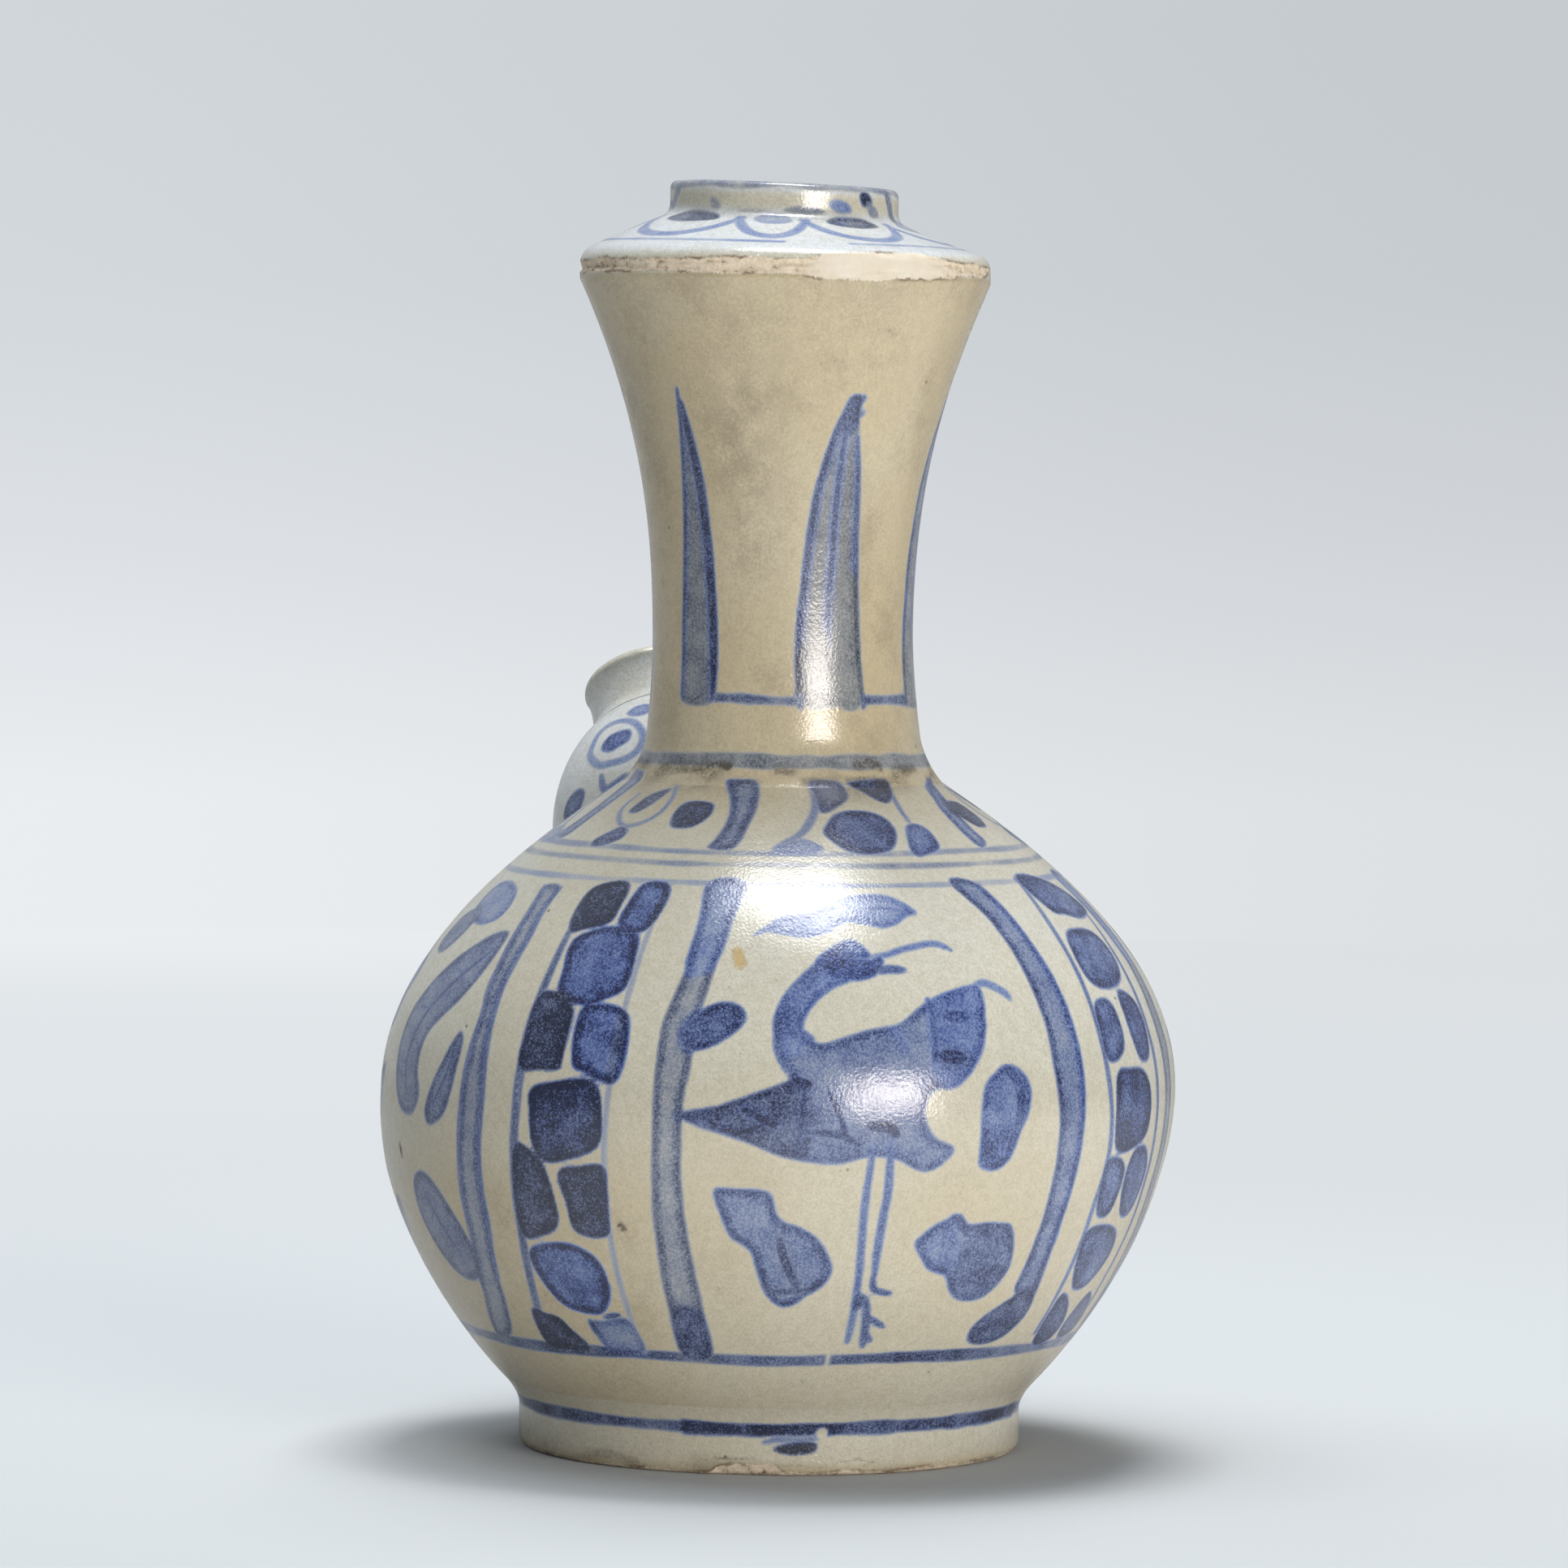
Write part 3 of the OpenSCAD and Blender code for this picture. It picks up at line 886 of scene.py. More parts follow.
class BodyPainting:
    """The painted bands of the body: shoulder band, panels, pebble columns and turned lines."""

    PANELS = (15.5, 107.5, 197.0, 284.5)
    DARK = (1.3, 0.25, 0.6, 0.4)  # How dark pebbles are laid on: tone, rim, ash and growth.
    MID = (0.95, 0.45, 0.1, 0.4)  # The same for lighter ones.
    PALE = (0.3, 0.25, 0.25)  # Rim, ash and growth of the far ones.

    # Turned lines above and below the panels.
    LINES: list[Motif] = [
        Ring(84.5, 1.0, 0.42, 0.25, 0.2, seed=11), Ring(87.2, 1.1, 0.42, 0.6, 0.2, seed=12),
        Ring(88.8, 1.1, 0.46, 0.5, 0.2, seed=13), Ring(17.7, 1.9, 0.9, 0.5, 0.25, [(-349.0, 10.0)], seed=14),
        Ring(101.1, 2.1, 0.62, 0.95, 0.25, seed=15),
    ]

    # Crane among leaves and clouds, on the panel that faces the viewer.
    CRANE: list[Motif] = [
        Wash([(10.5, 72.2), (8, 71), (5.5, 69.3), (3.8, 67.3), (3.2, 65.5), (4.3, 64), (6.2, 63.4), (9, 64.2),
              (12, 65.1), (15, 65.6), (17.5, 66), (20.5, 68), (23, 69.3), (26, 70.3), (29, 70.9), (31.7, 71), (32, 69),
              (31.5, 66.3), (30.5, 63), (28.8, 60.2), (27, 58.3), (25, 57.1), (22.5, 57), (21, 55.3), (20.8, 53),
              (22.3, 50.3), (25.4, 48.8), (24.6, 47.2), (22.5, 45.6), (20, 45.8), (17, 47.3), (13, 47.7), (9.5, 46.8),
              (6, 46.8), (2.5, 47.4), (-1, 48.5), (-4.5, 49.8), (-8, 51), (-11, 52.2), (-13.8, 53), (-11.5, 53.6),
              (-8, 54.7), (-4.5, 55.8), (-1, 57.3), (1.6, 58.6), (0.2, 60.8), (-0.8, 63), (-1, 65.3), (-0.5, 67.5),
              (0.8, 69.7), (2.3, 71.6), (4.3, 73.4), (6.5, 75)], 0.69, 0.22, 0.38),
        Wash([(-13.8, 53), (-8, 54.7), (-1, 57.3), (2, 58), (4, 55), (4, 50), (2.5, 47.4), (-4.5, 49.8)], 1.0, 0.15,
             0.55),
        Wash([(23.5, 69.5), (31.5, 70.5), (30.5, 63), (27, 58.5), (24, 58), (22.5, 60.5), (23.5, 63), (22.5, 66)], 0.78,
             0.12, 0.1),
        Stroke([(8.5, 73), (5, 71.6), (2.2, 69), (0.9, 66.2), (1.4, 63.4)], 4.2, 0.5, 0.1, 0.2),
        Stroke([(6, 74.4), (3, 72), (0.9, 69.2), (-0.4, 66.5), (-0.6, 63.5)], 1.1, 0.9, 0.2),
        Wash([(5.5, 74.8), (7.5, 76), (9.8, 77), (12, 77.2), (13.6, 76.2), (14.3, 74.9), (10, 75)], 0.6, 0.4, 0.1),
        Wash([(6.5, 74.6), (10, 75), (14, 74.6), (16, 75.2), (16.3, 74.2), (14.5, 72.5), (11.5, 71.9), (9, 72.5)], 1.0,
             0.1, 0.1),
        Stroke([(14.5, 75), (17, 75.3), (20, 76), (24, 76.6), (26.5, 76.7), (28, 76.3), (29, 75.8)], 1.0, 0.72, 0.1),
        Stroke([(15, 73.2), (17, 73.4), (19.5, 73.3)], 1.3, 0.95, 0.3),
        Stroke([(5, 72.8), (3.2, 71), (1.9, 68.8), (1.7, 66.8), (2.4, 65), (4.4, 63.8)], 1.9, 0.84, 0.2),
        Stroke([(-0.5, 66.5), (-0.6, 63.5), (0.2, 61), (1.6, 59)], 0.9, 0.85, 0.3),
        Stroke([(2, 58.3), (3, 58), (4.5, 57.6)], 1.7, 1.2),
        Stroke([(3.4, 57.5), (3.6, 55), (3.2, 52), (3.2, 48.5)], 1.0, 1.15),
        Stroke([(7, 57), (8, 54.8), (9, 52.3), (9.8, 50)], 1.1, 1.15, 0.3),
        Stroke([(-12.8, 52.9), (-9.8, 52.7), (-8, 51.7), (-6, 51), (-4, 51.2), (-2, 52)], 1.1, 1.35),
        Stroke([(-5, 54.4), (-3.4, 53.6), (-1.8, 52.8), (0, 52.2)], 1.3, 1.3),
        Stroke([(4, 51.2), (7, 51), (9.5, 50.5), (12, 49)], 1.2, 1.1),
        Stroke([(12.8, 52), (15.5, 51.8), (16.8, 50.6)], 1.8, 1.15, 0.5),
        Stroke([(22.5, 69.2), (22.8, 66), (22.6, 63), (22.3, 60.5)], 1.2, 1.0, 0.15),
        Stroke([(25, 67), (28.5, 66.8)], 2.2, 1.0, 0.15), Stroke([(23.5, 61.6), (27, 61.2)], 2.4, 1.15, 0.3),
        Stroke([(31.2, 69), (31, 66), (30, 63.2), (28.3, 60.3)], 1.0, 0.95, 0.15),
        Stroke([(16.5, 65.5), (17.5, 64), (18, 62.5)], 1.0, 0.78, 0.2),
        Stroke([(30.5, 71), (33, 71.3), (35, 70.6), (36.4, 69.8), (37, 69)], 1.3, 0.62, 0.1, 0.7),
        Stroke([(13.6, 49), (13.3, 45), (13.2, 40), (13.3, 35), (13.5, 30), (13.6, 25), (13.4, 20.5)], 1.1, 0.78, 0.25),
        Stroke([(16, 50), (16.2, 45), (16.3, 42), (16, 38), (15.8, 34), (15.9, 30.5)], 1.2, 0.84, 0.25),
        Stroke([(15.7, 30.2), (16.2, 28.5), (17.5, 28), (19, 27.7)], 1.0, 1.05),
        Stroke([(14.6, 27.3), (14.3, 26)], 1.6, 1.1),
        Stroke([(15.3, 27), (15.8, 24.5), (16.1, 22), (16.3, 19.8)], 1.1, 1.0),
        Stroke([(16, 24.3), (17.8, 23.4), (19.2, 22.7)], 0.9, 1.05), Stroke([(16.2, 21.8), (17.5, 20.6)], 0.8, 1.0),
    ]

    # Leaves and clouds around the crane.
    CLOUDS: list[Motif] = [
        Wash([(-5, 77.8), (-3, 79), (0, 80.4), (4, 80.8), (8, 81.8), (11, 82.8), (15, 83.3), (19, 83.3), (22.5, 82.5),
              (25.3, 80.9), (22.8, 80.4), (20.5, 79.4), (17.5, 78.9), (14, 79.5), (10.5, 79.6), (7.5, 78.3), (4, 77.7),
              (1, 77.9), (-2.5, 78.4)], 0.52, 0.3, 0.05),
        Stroke([(15, 81.6), (19, 81.5), (22, 81.2), (24.8, 80.9)], 1.0, 0.8, 0.1),
        Wash([(-14, 63.3), (-13.9, 65.5), (-12.3, 67.2), (-10.2, 68.5), (-8, 68.8), (-6, 68.2), (-5.2, 66.8),
              (-6, 65.2), (-8, 63.8), (-10.3, 62.5), (-12.5, 62.2)], 0.95, 0.2, 0.3),
        Wash([(30.2, 57.5), (29.6, 55), (29.5, 52), (29.6, 48), (29.9, 46), (32, 45.3), (33.5, 45.7), (34.8, 47),
              (35.6, 49), (36.3, 51), (37.3, 53), (37.9, 55.5), (37.6, 57.5), (36.6, 59), (35, 60), (33.5, 60.1),
              (32, 59.3)], 0.68, 0.25, 0.2),
        Wash([(30, 50.5), (33, 50.8), (35.5, 49.8), (34.5, 47), (32.5, 45.8), (30.3, 46)], 1.0, 0.1, 0.2),
        Stroke([(33.6, 59.6), (35.2, 58.3), (36, 56.3), (36, 53.5), (35.4, 50.5)], 1.9, 1.0, 0.25),
        Wash([(-8, 43), (-5, 43), (-2, 42.9), (-0.3, 42.3), (0.3, 40.8), (0.8, 39.3), (2, 38.2), (4, 37.6), (6, 36.5),
              (7.5, 35), (8.7, 33), (9.2, 31.3), (8.5, 29.5), (7, 28.2), (5.5, 27.5), (4, 26.3), (2.5, 25.8),
              (0.8, 26.3), (-0.7, 27.8), (-1.7, 30), (-2.3, 32), (-3, 34), (-4.2, 35), (-5.8, 36), (-6.8, 38),
              (-7.7, 40.5), (-8.2, 42)], 0.68, 0.38, 0.35),
        Stroke([(1.2, 36), (1.8, 33.5), (2.9, 31), (4.2, 28.8)], 1.6, 1.05, 0.5),
        Stroke([(-0.8, 29), (0.7, 28), (3, 28.2), (5.5, 28.3)], 1.3, 1.0, 0.5),
        Wash([(21.5, 35), (22.3, 36.2), (24, 37.6), (26, 38.5), (27.3, 39.3), (28.7, 38.6), (30, 37.6), (33, 37.8),
              (35, 37.6), (37, 37.4), (38, 36.2), (38.8, 34.3), (39.2, 32.5), (39.3, 30.8), (38.7, 29.3), (37.5, 27.7),
              (36, 26.6), (34, 26.2), (32, 26.3), (30.5, 26.8), (29, 28), (28.3, 29.2), (27.5, 30.2), (26, 30.6),
              (24.3, 31.3), (23, 32.8)], 0.7, 0.3, 0.25),
        Wash([(30.5, 36.3), (33, 37.2), (36.5, 37), (38.4, 34.5), (39, 31), (37.3, 28), (34, 26.6), (31, 27.2),
              (29.5, 29.3), (30, 32)], 0.95, 0.1, 0.4),
        Stroke([(28, 38.8), (29, 37), (30.3, 35.8)], 1.3, 1.05),
    ]

    @staticmethod
    def borders(middle: float, headed: bool = True) -> list[Motif]:
        """Broad blue bands that frame one panel.

        Args:
            middle: Angle of the panel's middle, in degrees.
            headed: Whether the right band ends in the brush's head, or tapers instead.

        Returns:
            The two bands.
        """
        left_out = [(-30.7, 84.8), (-30.5, 80), (-30.6, 75), (-31.8, 70), (-32.9, 65), (-32.9, 55), (-32.7, 45),
                    (-32.5, 35), (-31.9, 25), (-30.9, 18)]
        left_in = [(-25.5, 18), (-26.2, 25), (-27.5, 35), (-28.5, 45), (-28.7, 55), (-28, 60), (-28, 65), (-27, 70),
                   (-25.9, 75), (-24.5, 80), (-23.3, 84.8)]
        right_in = [(20.5, 85), (24.5, 80), (26, 75), (26.5, 70), (27, 65), (27, 60), (27.5, 55), (28, 50), (28, 40),
                    (27.5, 35), (27, 30), (27, 27)]
        right_out = [(32, 25), (32, 30), (32, 35), (32.5, 40), (33, 50), (33, 60), (32.5, 70), (31.5, 75), (30.5, 80),
                     (27.5, 84.5)]
        head = [(30, 27), (27, 26.2), (24.5, 24.8), (22, 23.2), (20.8, 21.5), (21.5, 19.8), (24.5, 19.2), (28, 19.6),
                (30.5, 20.8), (32.3, 23), (32.3, 26)]
        bands: list[Motif] = [
            Wash(left_out + left_in, 0.52, 0.42, 0.75),
            Wash([(-30.7, 84.8), (-23.3, 84.8), (-24.5, 80), (-26.2, 74), (-31, 73), (-30.5, 80)], 0.6, 0.35, 0.15),
            Wash([(-30.5, 24), (-28.5, 25), (-26.3, 23), (-25.8, 18.5), (-30.5, 18.5)], 1.0, 0.1, 0.5),
        ]
        if headed:
            bands += [Wash(right_in + right_out, 0.7, 0.38, 0.4), Wash(head, 1.05, 0.1, 0.5)]
            edge = [(27.6, 84), (30, 80), (31.2, 75), (32, 70), (32.5, 60), (32.5, 50), (32, 40), (31.6, 31)]
            return moved(bands + [Stroke(edge, 1.0, 0.95, 0.1)], middle)
        left = [(21, 83), (22.5, 80), (23.5, 75), (24.5, 68.5), (25.5, 65), (25, 54), (24.5, 44.5), (24, 36.5),
                (23.5, 32.5), (21.5, 28), (20.5, 24.5), (17, 18.5)]
        right = [(23, 19), (26, 23.5), (27, 27.5), (28, 32), (29, 37), (29, 45), (29.5, 55), (28.5, 63), (27.5, 70),
                 (27.5, 76), (26.5, 79.5), (26.5, 83)]
        bands += [
            Wash(left + right, 0.52, 0.4, 0.6), Stroke(right[2:], 1.0, 0.85, 0.35), Stroke(left[:9], 0.9, 0.8, 0.4),
        ]
        return moved(bands, middle)

    # Column of pebbles to the left of the facing panel, one large and two small by turns.
    PEBBLES: list[Motif] = [
        Wash([(-36.5, 84), (-33, 84), (-32, 82.5), (-32, 81), (-32.5, 79), (-37, 78), (-39.3, 77.7), (-40.5, 80.5),
              (-40, 83)], *DARK),
        Wash([(-29, 83.5), (-27, 84.3), (-23.7, 84), (-23, 82), (-23.7, 79.5), (-25.5, 78), (-29, 78.5), (-30, 80)],
             *MID),
        Wash([(-37.3, 76), (-34, 77.5), (-30.5, 78), (-26, 77.2), (-25, 75), (-25, 70.5), (-27.5, 69), (-30.5, 68),
              (-34, 68.5), (-36, 69.7), (-36.5, 72)], *MID),
        Wash([(-39.2, 68.4), (-36, 68.6), (-33.2, 67.2), (-32.5, 65.6), (-32.6, 60), (-33, 59), (-36, 58.9),
              (-39.2, 58.8), (-39.4, 63)], *DARK),
        Wash([(-30.7, 66.5), (-28.5, 67.5), (-25, 67.3), (-23.2, 66), (-22.6, 62), (-23.5, 57.7), (-26, 58),
              (-28.5, 59), (-30.2, 60)], *MID),
        Wash([(-36.5, 55.5), (-33, 56.5), (-28.5, 57.2), (-26.3, 56.3), (-25.4, 53), (-25.7, 48.5), (-30, 46.6),
              (-33.5, 46), (-35.7, 48), (-36.5, 53)], 1.22, 0.4, 0.4, 0.4),
        Wash([(-39.2, 47), (-37.6, 47.2), (-35, 45.4), (-33.6, 42.5), (-32.8, 38.4), (-33.6, 36.2), (-36, 35.2),
              (-39.4, 34.8), (-39.6, 40)], *DARK),
        Wash([(-31.4, 44), (-28, 44.9), (-24.9, 45.2), (-24.3, 43), (-24.4, 37.5), (-24.8, 35.8), (-27.5, 35.5),
              (-29.8, 36.5), (-30.3, 40)], *DARK),
        Wash([(-39, 32), (-34, 33.5), (-30.5, 33.3), (-27.3, 31.5), (-26.3, 27.5), (-28.5, 24.2), (-32, 24),
              (-35.5, 25), (-37.7, 27.5)], *MID),
        Wash([(-43, 23), (-40.5, 22.6), (-38, 22.2), (-36.3, 20.5), (-34, 18.2), (-38, 17.9), (-43, 18.2)], *DARK),
        Wash([(-31, 22), (-28.5, 22.3), (-24.5, 23), (-23, 20.5), (-23, 18.2), (-28, 17.9), (-30, 19)], 0.6, 0.2, 0.3,
             0.4),
        Stroke([(-31.3, 22.4), (-30.6, 20.4)], 1.2, 1.1), Stroke([(-28.2, 23.2), (-25.4, 23.7)], 1.0, 1.1),
        Stroke([(-39.5, 77.5), (-39.3, 72), (-39.3, 66), (-39.2, 57), (-39.4, 49), (-39.6, 39), (-40.3, 32),
                (-41.5, 25), (-43, 19)], 1.5, 0.85, 0.5),
        Stroke([(-23.2, 84), (-23.7, 77), (-23.8, 70), (-24, 60), (-24.4, 50), (-24.2, 40), (-24, 30), (-23.2, 22),
                (-22.3, 18.5)], 0.9, 0.42),
    ]

    # Column of pebbles to the right of the facing panel.
    FAR_PEBBLES: list[Motif] = [
        Wash([(57, 85), (66, 84.6), (73, 82.5), (75.5, 80), (69, 79.2), (63, 80), (59.5, 80.5)], 0.92, *PALE),
        Wash([(58.5, 77), (63, 77.6), (69, 76.8), (70.5, 74), (67.5, 70.7), (61, 69.7), (57, 70.8), (56.5, 74)], 0.92,
             *PALE),
        Wash([(55.3, 67.3), (58.5, 68), (60.3, 66.5), (60, 62), (57.5, 60), (54.8, 60.2), (54.6, 64)], 1.0, *PALE),
        Wash([(64, 68.7), (68.5, 67.5), (69.3, 64), (67.8, 59.8), (64.5, 59.7), (63.3, 64)], 1.0, *PALE),
        Wash([(56.8, 57.3), (60.5, 58), (65, 57.4), (67, 54.5), (66.5, 49), (62.5, 47), (58, 46.7), (56.5, 50)], 1.15,
             *PALE),
        Wash([(55.5, 45.3), (59.5, 45), (61, 42.5), (60, 37.7), (56.5, 37.6), (55.3, 41.5)], 1.0, *PALE),
        Wash([(63, 46), (67, 46.3), (69.5, 42.5), (68, 37.3), (64, 37.2), (62, 42)], 1.0, *PALE),
        Wash([(55, 34.8), (60, 35.5), (65, 34), (66.3, 30.5), (63, 26.8), (58.5, 26.6), (55.8, 30)], 1.0, *PALE),
        Wash([(55.5, 25.3), (59, 24.3), (62, 21), (61, 18.6), (55.5, 18.6)], 1.05, *PALE),
        Wash([(66.5, 25), (70.5, 22.5), (71, 19.2), (65, 18.6), (63.8, 21.5)], 1.0, *PALE),
        Stroke([(56.5, 85), (55.2, 78), (54.3, 70), (54, 62), (54.6, 55), (55.4, 47), (54.6, 38), (54.3, 30), (54, 20)],
               1.0, 0.85, 0.3),
        Stroke([(74, 80), (71.5, 72), (70.3, 64), (70.3, 56), (70.5, 48), (71, 38), (70.5, 28), (71, 20)], 1.1, 0.85,
               0.3),
    ]

    # Leaves and a fruiting branch, on the panel left of the facing one.
    SPRAY: list[Motif] = [
        Wash([(-75, 82.5), (-68.5, 83), (-62.8, 82), (-60.2, 80), (-61, 78), (-66, 77), (-71, 77.5), (-76, 79.7)], 0.5,
             0.25, 0.2),
        Wash([(-54.3, 76.6), (-58.5, 76), (-62, 74.3), (-66, 72), (-70.5, 67.5), (-73, 63), (-72.5, 57), (-69.5, 51),
              (-64.5, 50), (-62, 53), (-63.5, 57), (-63, 61.5), (-60.5, 64), (-57, 67), (-54.8, 70.5), (-53.8, 74)],
             0.66, 0.25, 0.5),
        Wash([(-54, 62.5), (-52.3, 61), (-52.7, 56), (-54.5, 51), (-58.5, 49), (-60, 51), (-58.5, 54.5), (-56.5, 58)],
             0.72, 0.25, 0.5),
        Wash([(-62.5, 42), (-59, 41), (-55.5, 37.5), (-53, 33.5), (-52, 30.5), (-53.5, 27.5), (-57, 26.5),
              (-61.5, 27.7), (-65, 31.5), (-66.5, 36), (-65.5, 40.3)], 0.72, 0.25, 0.5),
        Wash([(-79, 77.5), (-73, 79), (-69.5, 77.5), (-71, 74.5), (-75, 72.5), (-80, 73.5)], 0.7, 0.2, 0.5),
        Stroke([(-55.5, 74), (-61.5, 69), (-66.5, 63.5), (-68, 58), (-66.5, 52.5)], 1.1, 1.0),
        Stroke([(-60, 70.5), (-64, 71)], 0.8, 0.9), Stroke([(-65, 65.5), (-69.5, 65)], 0.8, 0.9),
        Stroke([(-67.3, 61), (-64.3, 59.5)], 0.8, 0.9), Stroke([(-67.8, 57), (-71.3, 57.5)], 0.8, 0.9),
        Stroke([(-53.6, 60.5), (-55, 56), (-58, 51.5)], 0.9, 1.0),
        Stroke([(-62.5, 39.5), (-60, 35), (-56.5, 30)], 1.0, 1.0), Stroke([(-61, 36.5), (-63.5, 33.5)], 0.8, 0.9),
        Stroke([(-59, 33.5), (-56, 35)], 0.8, 0.9),
        Stroke([(-83, 21), (-85, 30), (-88, 40), (-89, 50), (-89, 60)], 1.3, 0.85), leaf((-85, 29), (-77, 37), 2.6),
        leaf((-86, 33), (-98, 40), 3.4), leaf((-88.5, 45), (-100, 53), 3.2), leaf((-88.5, 47), (-80.5, 56), 2.7),
        leaf((-91, 78), (-101, 81), 2.2),
    ]

    @staticmethod
    def blossom(middle: Pair, size: float) -> list[Motif]:
        """A flower seen from the front.

        Args:
            middle: Its middle, in degrees and millimetres.
            size: Length of a petal, in millimetres.

        Returns:
            Six petals, the veins on them and the heart.
        """
        x, z = middle
        petals: list[Motif] = []
        for turn in np.radians(np.arange(6) * 60.0 + 20.0):
            c, s = math.cos(turn), math.sin(turn)
            petals.append(leaf((x + 0.16 * size * c, z + 0.16 * size * s), (x + size * c, z + size * s), 0.42 * size,
                               0.5, 0.5, 0.25))
            petals.append(Stroke([(x + 0.3 * size * c, z + 0.3 * size * s), (x + 0.75 * size * c, z + 0.75 * size * s)],
                                 0.8, 0.85, 0.3))
        return petals + [leaf((x - 0.3 * size, z), (x + 0.3 * size, z), 0.26 * size, 1.15, 0.1, 0.5)]

    @classmethod
    def under_spout(cls) -> list[Motif]:
        """Paints a low flowering plant on the panel that the spout overhangs.

        Returns:
            Its stem, leaves and flower.
        """
        x = cls.PANELS[2]
        plant: list[Motif] = [Stroke([(x - 1, 20), (x + 1, 28), (x, 37)], 1.3, 0.85, 0.4)]
        for side in (-1.0, 1.0):
            plant += [
                leaf((x + side, 24), (x + 14 * side, 32 + side), 3.6),
                leaf((x + 12 * side, 40), (x + 19 * side, 54 + side), 3.2),
            ]
            plant += [
                leaf((x + 15 * side, 22), (x + 22 * side, 27), 2.4),
                Stroke([(x + side, 30), (x + 7 * side, 36), (x + 12.5 * side, 41)], 1.0, 0.7),
            ]
        return plant + cls.blossom((x, 44.0), 8.0)

    @staticmethod
    def shoulder() -> list[Motif]:
        """Paints the band under the neck.

        Returns:
            Its bars, pebbles and flowers, all the way around.
        """
        bar = [(-21.5, 98.3), (-16, 98.6), (-10.5, 98.4), (-8.6, 97), (-8.3, 95), (-9.5, 92.5), (-12, 89.3),
               (-18, 89.3), (-17.2, 90.3), (-16, 92), (-15.7, 94), (-17.5, 96)]
        thin_bar = [(67.5, 98.3), (71.5, 98.3), (66.5, 96.5), (62.5, 95), (60, 93), (59, 91.5), (59, 90), (54.5, 89.2),
                    (53, 91), (54, 94), (57, 95.7), (60.5, 97.2)]
        stones: list[Motif] = [
            Wash([(9, 98.3), (15.5, 98.6), (21, 98.2), (21.5, 96.3), (16.5, 95), (11, 94.2), (10.2, 96.5)], 0.72, 0.3,
                 0.6),
            Wash([(23.5, 98.2), (33, 98.6), (41.5, 98.4), (39.5, 96.7), (34.5, 95.5), (31, 96), (27.5, 97.2)], 1.1, 0.2,
                 0.6),
            Wash([(10.3, 91.7), (13.5, 93.5), (16.5, 94.2), (21, 94.5), (26.5, 94.2), (29.8, 93.3), (30.3, 91.8),
                  (28.5, 90.3), (25, 89.1), (19.5, 88.7), (15, 89.2), (12, 90.4)], 0.95, 0.3, 0.3),
            Wash([(34.5, 92.2), (38.5, 92.6), (40.8, 91.8), (41, 90.3), (39.5, 89.2), (35.5, 88.6), (31.8, 88.4),
                  (31.5, 89.6)], 0.85, 0.2, 0.2),
            Wash([(-3, 89.1), (0.5, 90.6), (5, 90.7), (9.5, 89.6), (6.5, 88.6), (2, 88.5)], 0.45, 0.15, 0.2),
            Stroke([(9.8, 98.3), (10.2, 96.5), (9.2, 94.5), (6.5, 92.6), (3.8, 91.2), (0.5, 90.4)], 1.2, 0.6),
            Stroke([(39.5, 97), (37.3, 94.7), (36.8, 92.8)], 0.9, 0.6),
        ]
        flower: list[Motif] = [
            Wash([(-33, 93.5), (-32.5, 94.9), (-29.5, 95.4), (-25, 95.4), (-22, 95), (-21.3, 94), (-22.3, 93),
                  (-24.5, 92.1), (-27.5, 91.8), (-31, 92)], 1.25, 0.1, 0.5),
            Wash([(-50.5, 93.7), (-46.5, 93.6), (-43.5, 95.2), (-42, 96.8), (-45.5, 96.6), (-49.5, 95.6)], 0.9, 0.2,
                 0.6),
            Stroke([(-41, 97.2), (-38.5, 96), (-37.8, 94.2), (-39.5, 92.8), (-43, 91.9), (-47, 91.7), (-51.5, 92.6),
                    (-55, 94), (-55, 96)], 0.9, 0.6, 0.5),
            Wash([(-51.5, 88.8), (-52.3, 89.6), (-50, 90.6), (-47.5, 91.5), (-44, 91.2), (-43.3, 90.2), (-45, 89.5),
                  (-48.5, 88.8)], 0.85, 0.2, 0.45),
        ]
        result: list[Motif] = [Wash(bar, 0.62, 0.4, 0.5), Wash(thin_bar, 0.62, 0.35, 0.3)]
        result += stones + flower
        result += moved([Wash(bar, 0.6, 0.35, 0.45)], -55.0, None, 1.0, 5)
        result += moved(flower, 118.0, -40.0, 0.6, 6) + moved([Wash(bar, 0.62, 0.38, 0.4)], 137.0, None, 1.0, 7)
        result += moved(stones, 120.0, None, 0.6, 8) + moved(stones, -115.0, 20.0, 0.6, 9)
        result += moved([Wash(bar, 0.62, 0.38, 0.4)], -112.0, -14.0, 1.0, 10)
        return result

    @classmethod
    def motifs(cls) -> list[Motif]:
        """Paints the body.

        Returns:
            All of its painting, in the order it is laid on.
        """
        result = list(cls.LINES)
        for middle in cls.PANELS:
            result += cls.borders(middle, middle != cls.PANELS[-1])
        result += cls.PEBBLES + cls.FAR_PEBBLES + cls.CRANE + cls.CLOUDS + cls.shoulder()
        result += moved(cls.PEBBLES, 184.5, -32.0, 0.8, 21) + moved(cls.PEBBLES, 272.5, None, 0.8, 22)
        spray = cls.SPRAY + cls.blossom((-89.5, 67.0), 8.0)
        result += spray + moved(spray, 183.0, -75.5, 0.8, 24) + cls.under_spout()
        return result


